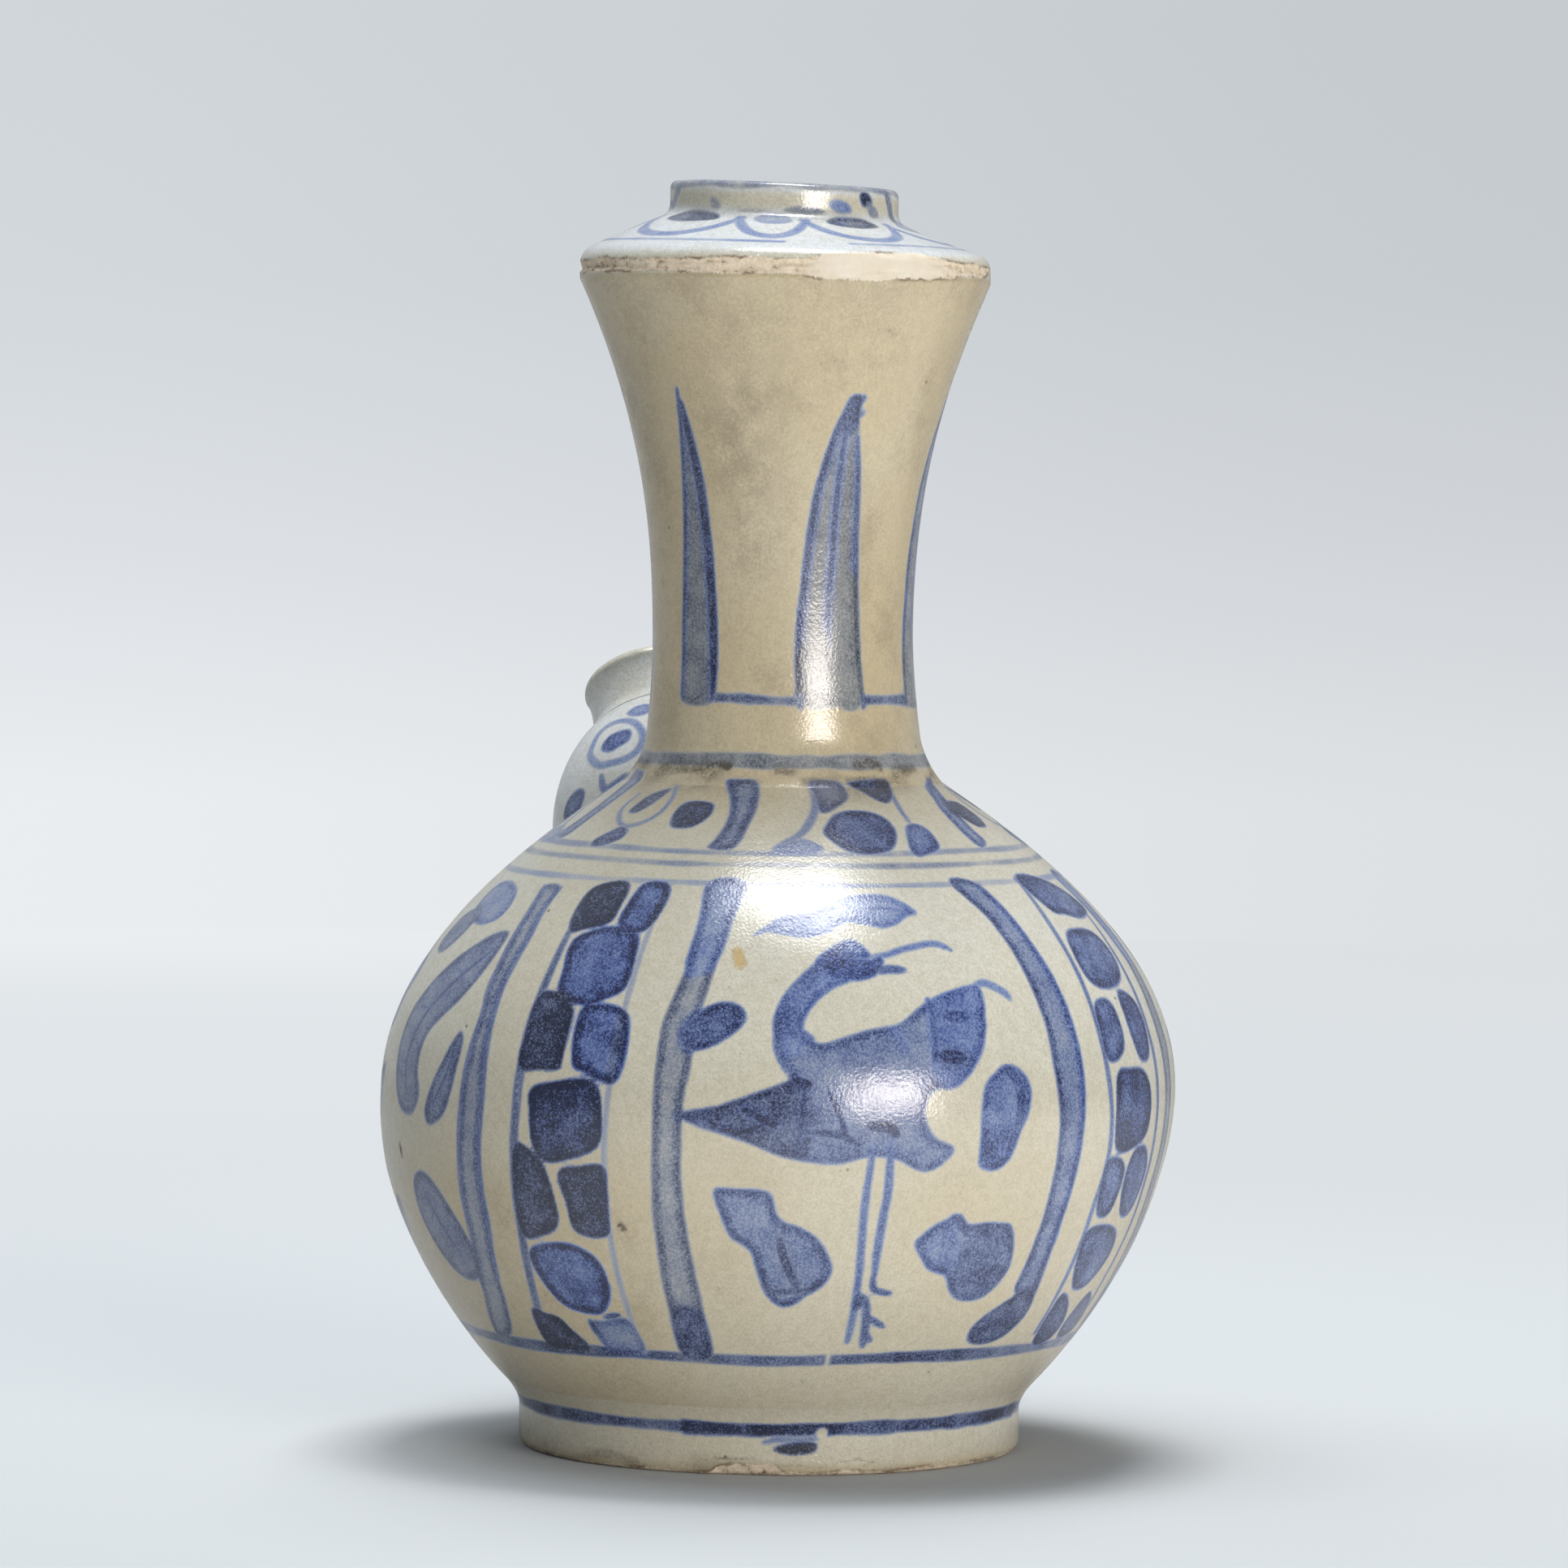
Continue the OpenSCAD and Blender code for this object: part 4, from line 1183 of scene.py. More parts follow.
class NeckPainting:
    """Tall leaves around the neck, and the line that they stand on."""

    MIDDLES = (81.0, 141.0, 201.0, 261.0)

    # The two leaves that the viewer sees.
    FACING: list[Motif] = [
        Wash([(6.8, 109.5), (6.2, 114), (6.8, 120), (8, 125), (9.3, 130), (10.8, 135), (13, 140), (16, 145),
              (19.5, 149.5), (22.5, 153), (25, 154), (28, 153.5), (28, 150.5), (29, 147), (30.5, 142), (31.2, 137),
              (32, 131), (33.3, 125), (34.3, 119), (35.2, 113), (36.5, 109.5)], 0.65, 0.12, 1.0),
        Stroke([(7.3, 109), (6.5, 114), (7.2, 120), (8.6, 125), (10, 130), (11.5, 135), (13.7, 140), (16.8, 145),
                (20.2, 149.5), (23, 152)], 1.2, 1.05, 0.45),
        Stroke([(36.3, 109), (34.8, 114), (33.8, 120), (32.8, 126), (31.8, 132), (31, 138), (30, 143), (28, 148)], 1.1,
               1.0, 0.45),
        Stroke([(19.3, 116), (20, 125), (21, 130), (21.3, 135), (21.8, 140), (22.5, 145), (23.5, 150)], 1.2, 1.0),
        Wash([(8, 109.5), (7.5, 113), (9, 117), (18, 119), (19, 109.5)], 0.62, 0.1, 0.95),
        Wash([(24, 109.5), (24.5, 118), (26, 126), (31, 127), (34, 118), (35.5, 109.5)], 0.6, 0.1, 1.0),
        Wash([(21.5, 149.3), (23, 152.5), (25, 154), (28.2, 153.6), (27.5, 151), (25.5, 149.3)], 1.05, 0.1, 0.5),
        Stroke([(24.5, 150.5), (26.5, 152.8), (28.5, 153.6)], 1.4, 0.9, 0.5),
        Stroke([(26, 150.5), (29, 151.5)], 1.2, 0.75, 0.5),
        Wash([(-49.3, 109.5), (-49.6, 115), (-49.3, 121), (-48.3, 126), (-47, 131), (-45.5, 136), (-44, 141),
              (-42.5, 146), (-41.5, 150), (-40.6, 154.8), (-39.6, 152), (-37.5, 150), (-35.8, 146.5), (-34.5, 143),
              (-33.2, 140), (-33.3, 135), (-33, 130), (-32, 125), (-31.4, 120), (-31.2, 114), (-31.4, 109.5)], 0.7, 0.1,
             0.9),
        Stroke([(-48.9, 110), (-49.1, 118), (-48, 126), (-46, 134), (-44, 141), (-42, 148), (-40.6, 154.5)], 0.9, 1.05,
               0.5),
        Stroke([(-31.9, 110), (-31.9, 116), (-32.6, 123), (-34, 131), (-35.2, 137), (-36.5, 142), (-38.5, 147.5),
                (-40.2, 152.5)], 1.6, 1.15, 0.45),
    ]

    @classmethod
    def motifs(cls) -> list[Motif]:
        """Paints the neck.

        Returns:
            All of its painting.
        """
        result: list[Motif] = list(cls.FACING)
        for i, middle in enumerate(cls.MIDDLES):
            result += moved(cls.FACING[:9], middle - 21.0, 21.0 if i % 2 else None, 0.8, 40 + i)
        spans = [(-31.0, 8.0), (36.0, 67.0), (96.0, 127.0), (156.0, 187.0), (216.0, 247.0)]
        result.append(Ring(110.0, 1.3, 0.9, 0.6, 0.2, spans, 44))
        return result


class MouthPainting:
    """Scallops and dabs on the cap, and the blue edge of the lip."""

    JOINTS = (-118.0, -76.0, -20.0, 9.0, 54.0, 98.0, 140.0, 170.0, 205.0, 242.0)

    @classmethod
    def motifs(cls) -> list[Motif]:
        """Paints the cap.

        Returns:
            All of its painting.
        """
        result: list[Motif] = [
            Ring(175.9, 0.7, 0.55, 0.0, 0.15, [(-120.0, 0.0), (20.0, 230.0)], seed=51),
            Ring(184.6, 1.5, 0.5, 0.7, 0.4, seed=52),
        ]
        for i, (a, b) in enumerate(zip(cls.JOINTS, cls.JOINTS[1:])):
            c, w = (a + b) / 2, (b - a) / 2
            arc = [(a - 1, 179.6), (c - 0.7 * w, 178), (c - 0.3 * w, 177), (c + 0.2 * w, 176.8), (c + 0.65 * w, 177.7),
                   (b + 1, 179.6)]
            result.append(Stroke(arc, 1.7, 0.55, 0.05))
            dab = [(c - 0.55 * w, 179.5), (c - 0.2 * w, 180.3), (c + 0.4 * w, 180.2), (c + 0.62 * w, 179.3),
                   (c + 0.2 * w, 178.8), (c - 0.3 * w, 178.9)]
            result.append(Wash(dab, 0.85, 0.15, 0.75) if i % 2 else Wash(dab, 0.35, 0.1, 0.1))
        result += [
            Wash([(0, 180.9), (8, 181.6), (17, 181.5), (20, 180.8), (10, 180.5)], 0.5, 0.1, 0.8),
            Wash([(22, 182.2), (27, 182.8), (33, 182.4), (35, 181.2), (27, 181)], 0.5, 0.1, 0.1),
            Wash([(41, 183.8), (45, 184), (49, 183), (49, 182), (44, 182), (41.5, 182.8)], 1.5, 0.1, 0.6),
            Wash([(46, 182), (51, 182.2), (54, 180.9), (48, 180.7)], 0.5, 0.1, 0.7),
            Stroke([(62, 184), (66, 182.5), (68, 181), (70, 180.2)], 1.6, 0.7, 0.7),
            Stroke([(-66, 183.8), (-72, 182.5), (-75, 181)], 1.4, 0.45, 0.5),
            Wash([(-40, 182.4), (-36, 182.2), (-34, 181), (-39, 181)], 0.3, 0.1, 0.6),
            Wash([(110, 182.2), (121, 182), (125, 181), (113, 181)], 0.42, 0.1, 0.3),
            Wash([(200, 182.4), (208, 182.3), (211, 181), (203, 181)], 0.5, 0.1, 0.4),
            Wash([(270, 181.8), (281, 182), (284, 181), (273, 180.9)], 0.42, 0.1, 0.4),
        ]
        return result


class SpoutPainting:
    """Cartouches and dabs around the spout, in degrees about its own axis and millimetres along it."""

    MIDDLES = (134.0, 226.0, 314.0, 46.0)

    # One cartouche with the dabs beside it.
    CARTOUCHE: list[Motif] = [
        Stroke([(121, 15.5), (119.5, 13.7), (122, 11.8), (126, 10.2), (131, 9.6), (137, 9.2), (142, 9.3), (146.5, 10.3),
                (149, 12), (148.5, 14), (145, 16.2), (138, 17.7), (130, 18), (124, 17.3), (121, 15.5)], 1.2, 0.55, 0.1,
               0.0),
        Wash([(127, 13.4), (130, 15), (136, 15.3), (143, 14.6), (142, 12.6), (136, 12), (131, 12)], 0.9, 0.15, 0.15),
        Wash([(141, 19), (147, 20.3), (156, 19.6), (157, 17.8), (148, 17.3)], 0.6, 0.15, 0.2),
        Wash([(112, 8.5), (115, 7), (109, 5), (101, 4.8), (97, 6.7), (103, 8.5)], 0.8, 0.2, 0.35),
        Stroke([(126, 8.2), (126.5, 5.6), (132, 5.6), (138, 6.3)], 1.2, 0.65, 0.25),
    ]

    @classmethod
    def motifs(cls) -> list[Motif]:
        """Paints the spout.

        Returns:
            All of its painting.
        """
        result: list[Motif] = [
            Ring(23.6, 1.2, 0.3, 0.3, 0.2, seed=61), Ring(33.4, 1.4, 0.62, 0.9, 0.2, [(-60.0, 150.0)], seed=62),
        ]
        for i, middle in enumerate(cls.MIDDLES):
            result += moved(cls.CARTOUCHE, middle - 134.0, 134.0 if i % 2 else None, 0.7 if i else 0.0, 70 + i)
        return result


@dataclass
class Vessel:
    """Sizes that the sections share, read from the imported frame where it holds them."""

    slip: float = 0.6
    body_wall: float = 4.0
    neck_wall: float = 3.5
    foot_wall: float = 6.5
    heel_slope: float = 44.0
    shoulder_slope: float = 35.0
    heel_run: float = 11.0
    lower_turn: float = 18.0
    heel_out: float = 0.8
    foot_fillet: float = 2.0
    foot_round: float = 1.6
    upper_turn: float = 23.5
    shoulder_run: float = 11.0
    neck_root: float = 20.5
    neck_waist: float = 19.0
    neck_waist_rise: float = 19.0
    neck_turn: float = 21.0
    flare_slope: float = 24.0
    flare_run: float = 17.0
    fillet: float = 4.5
    lip_r: float = 16.7
    lip_h: float = 4.7
    mouth_r: float = 12.0
    lip_tilt: float = 1.9
    leaning: Sequence[Pair] = (
        (0, -0.5), (15, -0.65), (40, -0.5), (52, 0.1), (72, 0.6), (92, 0.5), (120, 0.0), (168, -0.3), (180, -0.7),
    )
    waver: Unevenness = field(default_factory=lambda: Unevenness(2))

    def __post_init__(self) -> None:
        """Takes the heights and outer radii from the frame's nodes."""
        self.foot_r, self.foot_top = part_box("foot_ring")[1].y / MM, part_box("foot_ring")[1].z / MM
        self.base_z, self.spigot_z = self.foot_top + self.slip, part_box("foot_slip")[0].z / MM
        self.belly_r, self.waist_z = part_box("lower_body")[1].y / MM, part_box("lower_body")[1].z / MM
        self.waist_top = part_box("upper_body")[0].z / MM
        self.seat_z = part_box("upper_body")[1].z / MM
        self.neck_z, self.neck_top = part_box("neck")[0].z / MM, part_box("neck")[1].z / MM
        self.flange_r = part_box("mouth_cap")[1].y / MM
        self.cap_z, self.top_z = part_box("mouth_cap")[0].z / MM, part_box("mouth_cap")[1].z / MM
        self.mid_waist = (self.waist_z + self.waist_top) / 2
        self.heel_r = self.foot_r + self.heel_out

    def lower_wall(self) -> list[Array]:
        """Control points of the lower bowl's outer wall, from the heel up."""
        heel, rim = np.array([self.heel_r, self.base_z]), np.array([self.belly_r, self.waist_z])
        return [heel, heel + lean(self.heel_slope, self.heel_run), rim - (0.0, self.lower_turn), rim]

    def foot_hollow(self) -> list[Array]:
        """Finds the hollow sweep from the foot ring to the heel.

        Returns:
            Its control points, from the ring up.
        """
        high = np.array(Outline(*self.lower_wall()[0]).sweep(self.lower_wall(), 0.6).points[4])
        knee = np.array([self.foot_r, self.base_z - self.heel_out * math.tan(math.radians(self.heel_slope))])
        low = knee - np.array([0.0, self.foot_fillet])
        return [low, low + 0.6 * (knee - low), high + 0.6 * (knee - high), high]

    def upper_wall(self) -> list[Array]:
        """Control points of the upper bowl's outer wall, from the waist up."""
        waist, rim = np.array([self.belly_r, self.waist_top]), np.array([self.neck_root, self.seat_z])
        return [waist, waist + (0.0, self.upper_turn), rim + lean(-self.shoulder_slope, self.shoulder_run), rim]

    def fillet_wall(self) -> list[Array]:
        """Finds the hollow sweep from the shoulder to the neck.

        Returns:
            Its control points, from the shoulder up.
        """
        side = np.array([self.neck_root, self.seat_z - self.slip / 2]) + lean(-self.shoulder_slope, self.fillet)
        root = np.array([self.neck_root, self.neck_z])
        neck = np.array(Outline(*self.neck_foot()[0]).sweep(self.neck_foot(), 0.2).points)
        top_z = self.neck_z + self.fillet
        top = np.array([np.interp(top_z, neck[:, 1], neck[:, 0]), top_z])
        return [side, side + 0.6 * (root - side), top + 0.6 * (root - top), top]

    def neck_foot(self, inset: float = 0.0) -> list[Array]:
        """Finds the neck's wall below its narrowest place.

        Args:
            inset: Distance inside the outer wall.

        Returns:
            Its control points, from the root up.
        """
        rise, low, narrow = self.neck_waist_rise, self.neck_root - inset, self.neck_waist - inset
        spread = ((low, 0.0), ((low + narrow) / 2, rise / 3), (narrow, rise * 2 / 3), (narrow, rise))
        return [np.array((r, self.neck_z + z)) for r, z in spread]

    def neck_flare(self, inset: float = 0.0) -> list[Array]:
        """Finds the neck's wall above its narrowest place.

        Args:
            inset: Distance inside the outer wall.

        Returns:
            Its control points, up to the flange.
        """
        narrow = np.array([self.neck_waist - inset, self.neck_z + self.neck_waist_rise])
        top = np.array([self.flange_r - inset, self.neck_top])
        turn, flare = np.array([0.0, self.neck_turn]), lean(90.0 - self.flare_slope, self.flare_run)
        return [narrow, narrow + turn, top - flare, top]

    def cap_wall(self) -> Outline:
        """Draws the cap's outer wall.

        Returns:
            The wall from under the edge to the top of the lip.
        """
        edge, lip_top = (self.flange_r, self.cap_z + 3.4), (self.lip_r, self.top_z)
        lip_foot = (self.lip_r, self.top_z - self.lip_h)
        wall = Outline(self.flange_r, self.cap_z).bend(edge, lip_foot, 2.2, 0.16, 16)
        return wall.bend(lip_foot, lip_top, 1.3, 0.42, 8).bend(lip_top, (self.mouth_r, self.top_z), 1.3, 0.4, 8)

    def chart(self) -> Chart:
        """Unrolls the outer wall.

        Returns:
            The wall from the foot to the lip.
        """
        hollow, side = self.foot_hollow(), self.fillet_wall()[0]
        wall = Outline(self.foot_r - self.foot_round, 0.0).to(self.foot_r, self.foot_round)
        wall.to(self.foot_r, float(hollow[0][1])).sweep(hollow, 0.3)
        bowl = Outline(*self.lower_wall()[0]).sweep(self.lower_wall()).sweep(self.upper_wall())
        wall.points += [p for p in bowl.points if p[1] > hollow[3][1] + 0.1]
        wall.points = [p for p in wall.points if p[1] < side[1]]
        wall.points.append((float(side[0]), float(side[1])))
        wall.sweep(self.fillet_wall(), 0.3)
        start = wall.points[-1][1]
        upper = Outline(*self.neck_foot()[0]).sweep(self.neck_foot()).sweep(self.neck_flare())
        wall.points += [p for p in upper.points if p[1] > start]
        return Chart(wall.points + self.cap_wall().points)

    def wobble(self, angle: Array, height: Array) -> Array:
        """How far a hand-thrown wall strays from round, in millimetres.

        Args:
            angle: Angles about the axis, in degrees.
            height: Heights, in millimetres.

        Returns:
            The straying at each place.
        """
        drawn_in = 0.19 * np.exp(-(((height - self.mid_waist) / 14.0) ** 2))
        slow = 0.16 * self.waver.at(angle, height, 60.0, 60.0)
        ridges = self.waver.at(angle, height + 400.0, 90.0, 2.6) + self.waver.at(angle, height, 7.5, 5.0)
        return slow - drawn_in + 0.015 * ridges

    def warmth(self, face: Array, height: Array) -> Array:
        """How yellow the body's glaze is, from white at 0 to tan at 1.

        Args:
            face: Angles from the face, in degrees.
            height: Heights, in millimetres.

        Returns:
            The warmth at each place.
        """
        level = 0.48 + 0.08 * smooth(height, 16.0, 24.0) - 0.5 * smooth(height, 36.0, 66.0)
        level += 0.08 * smooth(height, 78.0, 90.0) + 0.5 * smooth(height, 89.0, 98.0)
        side = 0.25 * np.exp(-((wrapped(face + 35.0) / 28.0) ** 2))
        return level + side + 0.1 * self.waver.at(face, height + 900.0, 40.0, 25.0)

    def settle(self, piece: Piece, height: float | None = None) -> None:
        """Lets a finished piece lean and its lip tilt, as the whole vessel did in the kiln.

        Args:
            piece: A piece in its place on the vessel.
            height: Height whose lean the whole piece takes, or None where each point takes its own.
        """
        co, right = Wheel.points(piece), lean(FACE + 90.0, 1.0)
        z = co[:, 2] / MM if height is None else np.full(len(co), height)
        shift = np.interp(z, [h for h, _ in self.leaning], [s for _, s in self.leaning]) * MM
        across = co[:, :2] @ right
        co[:, :2] += shift[:, None] * right[None, :]
        co[:, 2] -= (across + self.lip_r * MM) * math.tan(math.radians(self.lip_tilt)) * smooth(z, 172.5, 180.0)
        Wheel.move(piece, co)


@dataclass
class Thrown:
    """One section of the vessel, which is thrown, painted, worn and set in its place."""

    vessel: Vessel
    section: Section = Section.FOOT
    nodes: tuple[str, ...] = ()
    steps: int = 720
    row: float = 0.6
    depth: float = 1.2

    def outline(self) -> Outline:
        """Closed half section."""
        raise NotImplementedError

    def motifs(self) -> list[Motif]:
        """Painting of the outer wall, which is the body's unless a section has its own."""
        return BodyPainting.motifs()

    def wear(self, painting: Painting, at: Surface) -> Array:
        """Ages the section, and gives the depth of its chips in millimetres."""
        raise NotImplementedError

    def painted(self, chart: Chart, at: Surface) -> Array:
        """True on the outer wall."""
        return at.radius > chart.radius(at.height) - self.depth

    def uneven(self, at: Surface, outer: Array) -> Array:
        """True where the wall strays from round."""
        return outer

    def build(self, chart: Chart, finish: Material) -> None:
        """Throws, paints and ages the section, and sets it in its place.

        Args:
            chart: The vessel's unrolled wall.
            finish: The glaze.
        """
        v = self.vessel
        piece = Wheel.throw(self.section, self.outline(), self.steps)
        at = Wheel.read(piece)
        outer = self.painted(chart, at)
        painting = Painting(chart, at.face, at.height, outer).add(self.motifs())
        cut = np.where(outer, self.wear(painting, at), 0.0)
        painting.store(piece)
        stray = np.where(self.uneven(at, outer), v.wobble(at.angle, at.height), 0.0)
        Wheel.press(piece, replace(at, radius=at.radius + stray - cut))
        v.settle(piece)
        Wheel.fire(piece, finish, self.nodes)


@dataclass
class FootRing(Thrown):
    """The turned ring that the vessel stands on, with a worn and chipped standing edge."""

    section: Section = Section.FOOT
    nodes: tuple[str, ...] = ("foot_ring", "foot_slip")
    taper: float = 1.5

    def outline(self) -> Outline:
        """Draws the ring.

        Returns:
            The half section, from the bore over the standing edge to the heel.
        """
        v, hollow = self.vessel, self.vessel.foot_hollow()
        bore = v.foot_r - v.foot_wall
        ring = Outline(bore, v.base_z).to(bore, v.spigot_z, 1.0).to(bore + self.taper, 0.0, 0.5)
        ring.bend((v.foot_r, 0.0), (v.foot_r, v.foot_top), v.foot_round, 0.4, 12)
        ring.to(v.foot_r, float(hollow[0][1]), 0.28).sweep(hollow, 0.22)
        return ring.to(v.heel_r - 0.6, v.base_z + 0.4, 0.9)

    def motifs(self) -> list[Motif]:
        """Paints the ring.

        Returns:
            Turned lines above the standing edge, and the slip of the brush under them.
        """
        return [
            Ring(6.8, 1.7, 0.9, 0.5, 0.2, [(74.0, 342.0)], seed=81),
            Ring(6.8, 2.1, 1.35, 0.4, 0.2, [(-19.0, 75.0)], seed=81),
            Wash([(1.5, 4), (4.5, 4.7), (8, 5), (10.5, 4.7), (10, 3.6), (6.5, 3.2), (3, 3.4)], 1.5, 0.2, 0.7),
            Stroke([(-1, 4.9), (2, 5.3), (6, 5.2), (10, 5.4), (12, 6.2)], 0.8, 0.7, 0.3),
        ]

    def painted(self, chart: Chart, at: Surface) -> Array:
        """True on the outer wall, down to the rounded edge."""
        return at.radius > self.vessel.foot_r - self.vessel.foot_round - 0.2

    def uneven(self, at: Surface, outer: Array) -> Array:
        """True outside the bore, where the ring strays from round."""
        return at.radius > self.vessel.foot_r - self.vessel.foot_wall + 2.5

    def wear(self, painting: Painting, at: Surface) -> Array:
        """Chips and soils the standing edge.

        Args:
            painting: The ring's painting.
            at: Where its points lie.

        Returns:
            Depth of the chips.
        """
        v, face, height, layers, noise = self.vessel, at.face, at.height, painting.layers, Unevenness(83)
        drop = np.hypot(wrapped(face - 12.0) * painting.reach, height - 6.2)
        layers["stroke"] = np.maximum(layers["stroke"], np.where(painting.outer, 0.95 - drop, -FAR))
        edge = 0.55 + 0.35 * noise.around(face, 0, 9.0) + 0.12 * noise.around(face, 0, 2.0)
        chip = smooth(noise.around(face, 30, 12.0), 0.3, 0.7) * 0.9
        chip += 1.2 * smooth(-np.abs(wrapped(face + 5.0)), -8.5, -6.0)
        inner = at.radius < v.foot_r - v.foot_round - 0.1
        worn = np.where(inner, height - 1.3 - 0.5 * noise.at(face, height, 4.0, 2.0), height - edge - chip * 0.7)
        layers["bare"] = np.where(height > v.foot_top, FAR, worn)
        layers["dirt"] = 0.5 * smooth(-height, -4.0, 0.3) * smooth(noise.at(face, height, 15.0, 2.5), 0.0, 0.8)
        tan = 0.4 + 0.4 * smooth(-height, -3.0, 0.0) + 0.12 * noise.at(face, height, 24.0, 3.0)
        layers["warm"] = np.where(inner, 0.7, tan)
        painting.add([
            Stain([(-12, 2.6), (-8, 2.3), (-3, 2.7)], 0.25, 0.8), Stain([(1, 1.4), (6, 1.7), (13, 1.3)], 0.25, 0.8),
            Stain([(15, 1.9), (20, 2.4), (24, 1.8)], 0.25, 0.7), Stain([(-46, 1.4), (-38, 1.9), (-31, 1.2)], 1.6, 0.4),
        ])
        return chip * smooth(-height, -2.2, -0.6) * (0.4 + 0.12 * noise.at(face, height, 2.0, 0.6))


@dataclass
class LowerBowl(Thrown):
    """The lower bowl with its floor and the spigot that sits in the foot ring."""

    section: Section = Section.LOWER
    nodes: tuple[str, ...] = ("lower_body", "waist_slip")

    def outline(self) -> Outline:
        """Draws the bowl.

        Returns:
            The half section, from the spigot over the outer wall to the floor inside.
        """
        v = self.vessel
        spigot, bore = v.foot_r - v.foot_wall - v.slip, v.belly_r - v.body_wall
        heel_in = np.array([v.heel_r, v.base_z]) + lean(v.heel_slope + 90.0, v.body_wall)
        bowl = Outline(0.0, v.spigot_z).to(spigot, v.spigot_z, 2.0).to(spigot, v.base_z, 1.5)
        bowl.to(v.heel_r, v.base_z, 2.0).sweep(v.lower_wall(), self.row)
        bowl.to(v.belly_r, v.mid_waist, 0.3).to(bore, v.mid_waist, 2.0)
        turn = (bore, v.waist_z - v.lower_turn)
        bowl.sweep([(bore, v.mid_waist), turn, heel_in + lean(v.heel_slope, v.heel_run), heel_in], 5.0)
        return bowl.to(0.0, float(heel_in[1]), 5.0)

    def painted(self, chart: Chart, at: Surface) -> Array:
        """True on the outer wall, and not on the spigot."""
        return (at.height > self.vessel.base_z - 0.01) & super().painted(chart, at)

    def wear(self, painting: Painting, at: Surface) -> Array:
        """Tints the wall and darkens the heel and the base.

        Args:
            painting: The bowl's painting.
            at: Where its points lie.

        Returns:
            No depth, since the bowl isn't chipped.
        """
        v, face, height, layers, noise = self.vessel, at.face, at.height, painting.layers, Unevenness(91)
        under = height < v.spigot_z + 0.1
        layers["warm"] = np.where(under, 0.7, v.warmth(face, height))
        # Darker in patches just above the foot ring, and on the base underneath.
        heel = 0.4 * smooth(-height, -11.0, -8.7) * smooth(noise.at(face, height, 18.0, 3.0), 0.0, 0.8)
        base = 0.35 * smooth(noise.at(face, at.radius, 24.0, 8.0), 0.1, 0.8)
        layers["dirt"] = np.where(painting.outer, heel, 0.0) + np.where(under, base, 0.0)
        painting.add([
            Stain([(-22.3, 37.2), (-21.8, 36.8)], 0.9, 1.0), Stain([(-69.5, 45), (-69, 43.8)], 0.9, 1.0),
            Stain([(-8, 28.3), (-7.6, 28)], 0.5, 0.8), Stain([(6.5, 14.4), (6.8, 14.2)], 0.5, 0.9),
        ])
        return 0.0 * height


@dataclass
class UpperBowl(Thrown):
    """The shoulder, a second bowl turned over and joined to the lower one at the waist."""

    section: Section = Section.UPPER
    nodes: tuple[str, ...] = ("upper_body",)

    def outline(self) -> Outline:
        """Draws the shoulder.

        Returns:
            The half section, from the waist over the outer wall and back inside.
        """
        v = self.vessel
        bore, neck_bore = v.belly_r - v.body_wall, v.neck_root - v.neck_wall
        shoulder_in = v.upper_wall()[2] - lean(90.0 - v.shoulder_slope, v.body_wall)
        inside = (neck_bore, v.seat_z - v.body_wall)
        bowl = Outline(bore, v.mid_waist).to(v.belly_r, v.mid_waist, 2.0).to(v.belly_r, v.waist_top, 0.3)
        bowl.sweep(v.upper_wall(), self.row).to(neck_bore, v.seat_z, 2.0).to(*inside, 2.0)
        return bowl.sweep([inside, shoulder_in, (bore, v.waist_top + v.upper_turn), (bore, v.mid_waist)], 5.0)

    def wear(self, painting: Painting, at: Surface) -> Array:
        """Tints the wall and darkens it under the neck.

        Args:
            painting: The shoulder's painting.
            at: Where its points lie.

        Returns:
            No depth, since the shoulder isn't chipped.
        """
        face, height, layers = at.face, at.height, painting.layers
        layers["warm"] = self.vessel.warmth(face, height)
        painting.add([Stain([(-7.5, 75.6), (-6.8, 74)], 1.6, 1.9, "warm")])
        # Darker in patches towards the foot of the neck.
        patches = smooth(Unevenness(92).at(face, height, 12.0, 2.5), 0.05, 0.7)
        layers["dirt"] = np.where(painting.outer, 0.75 * smooth(height, 94.5, 98.5) * patches, 0.0)
        return 0.0 * height


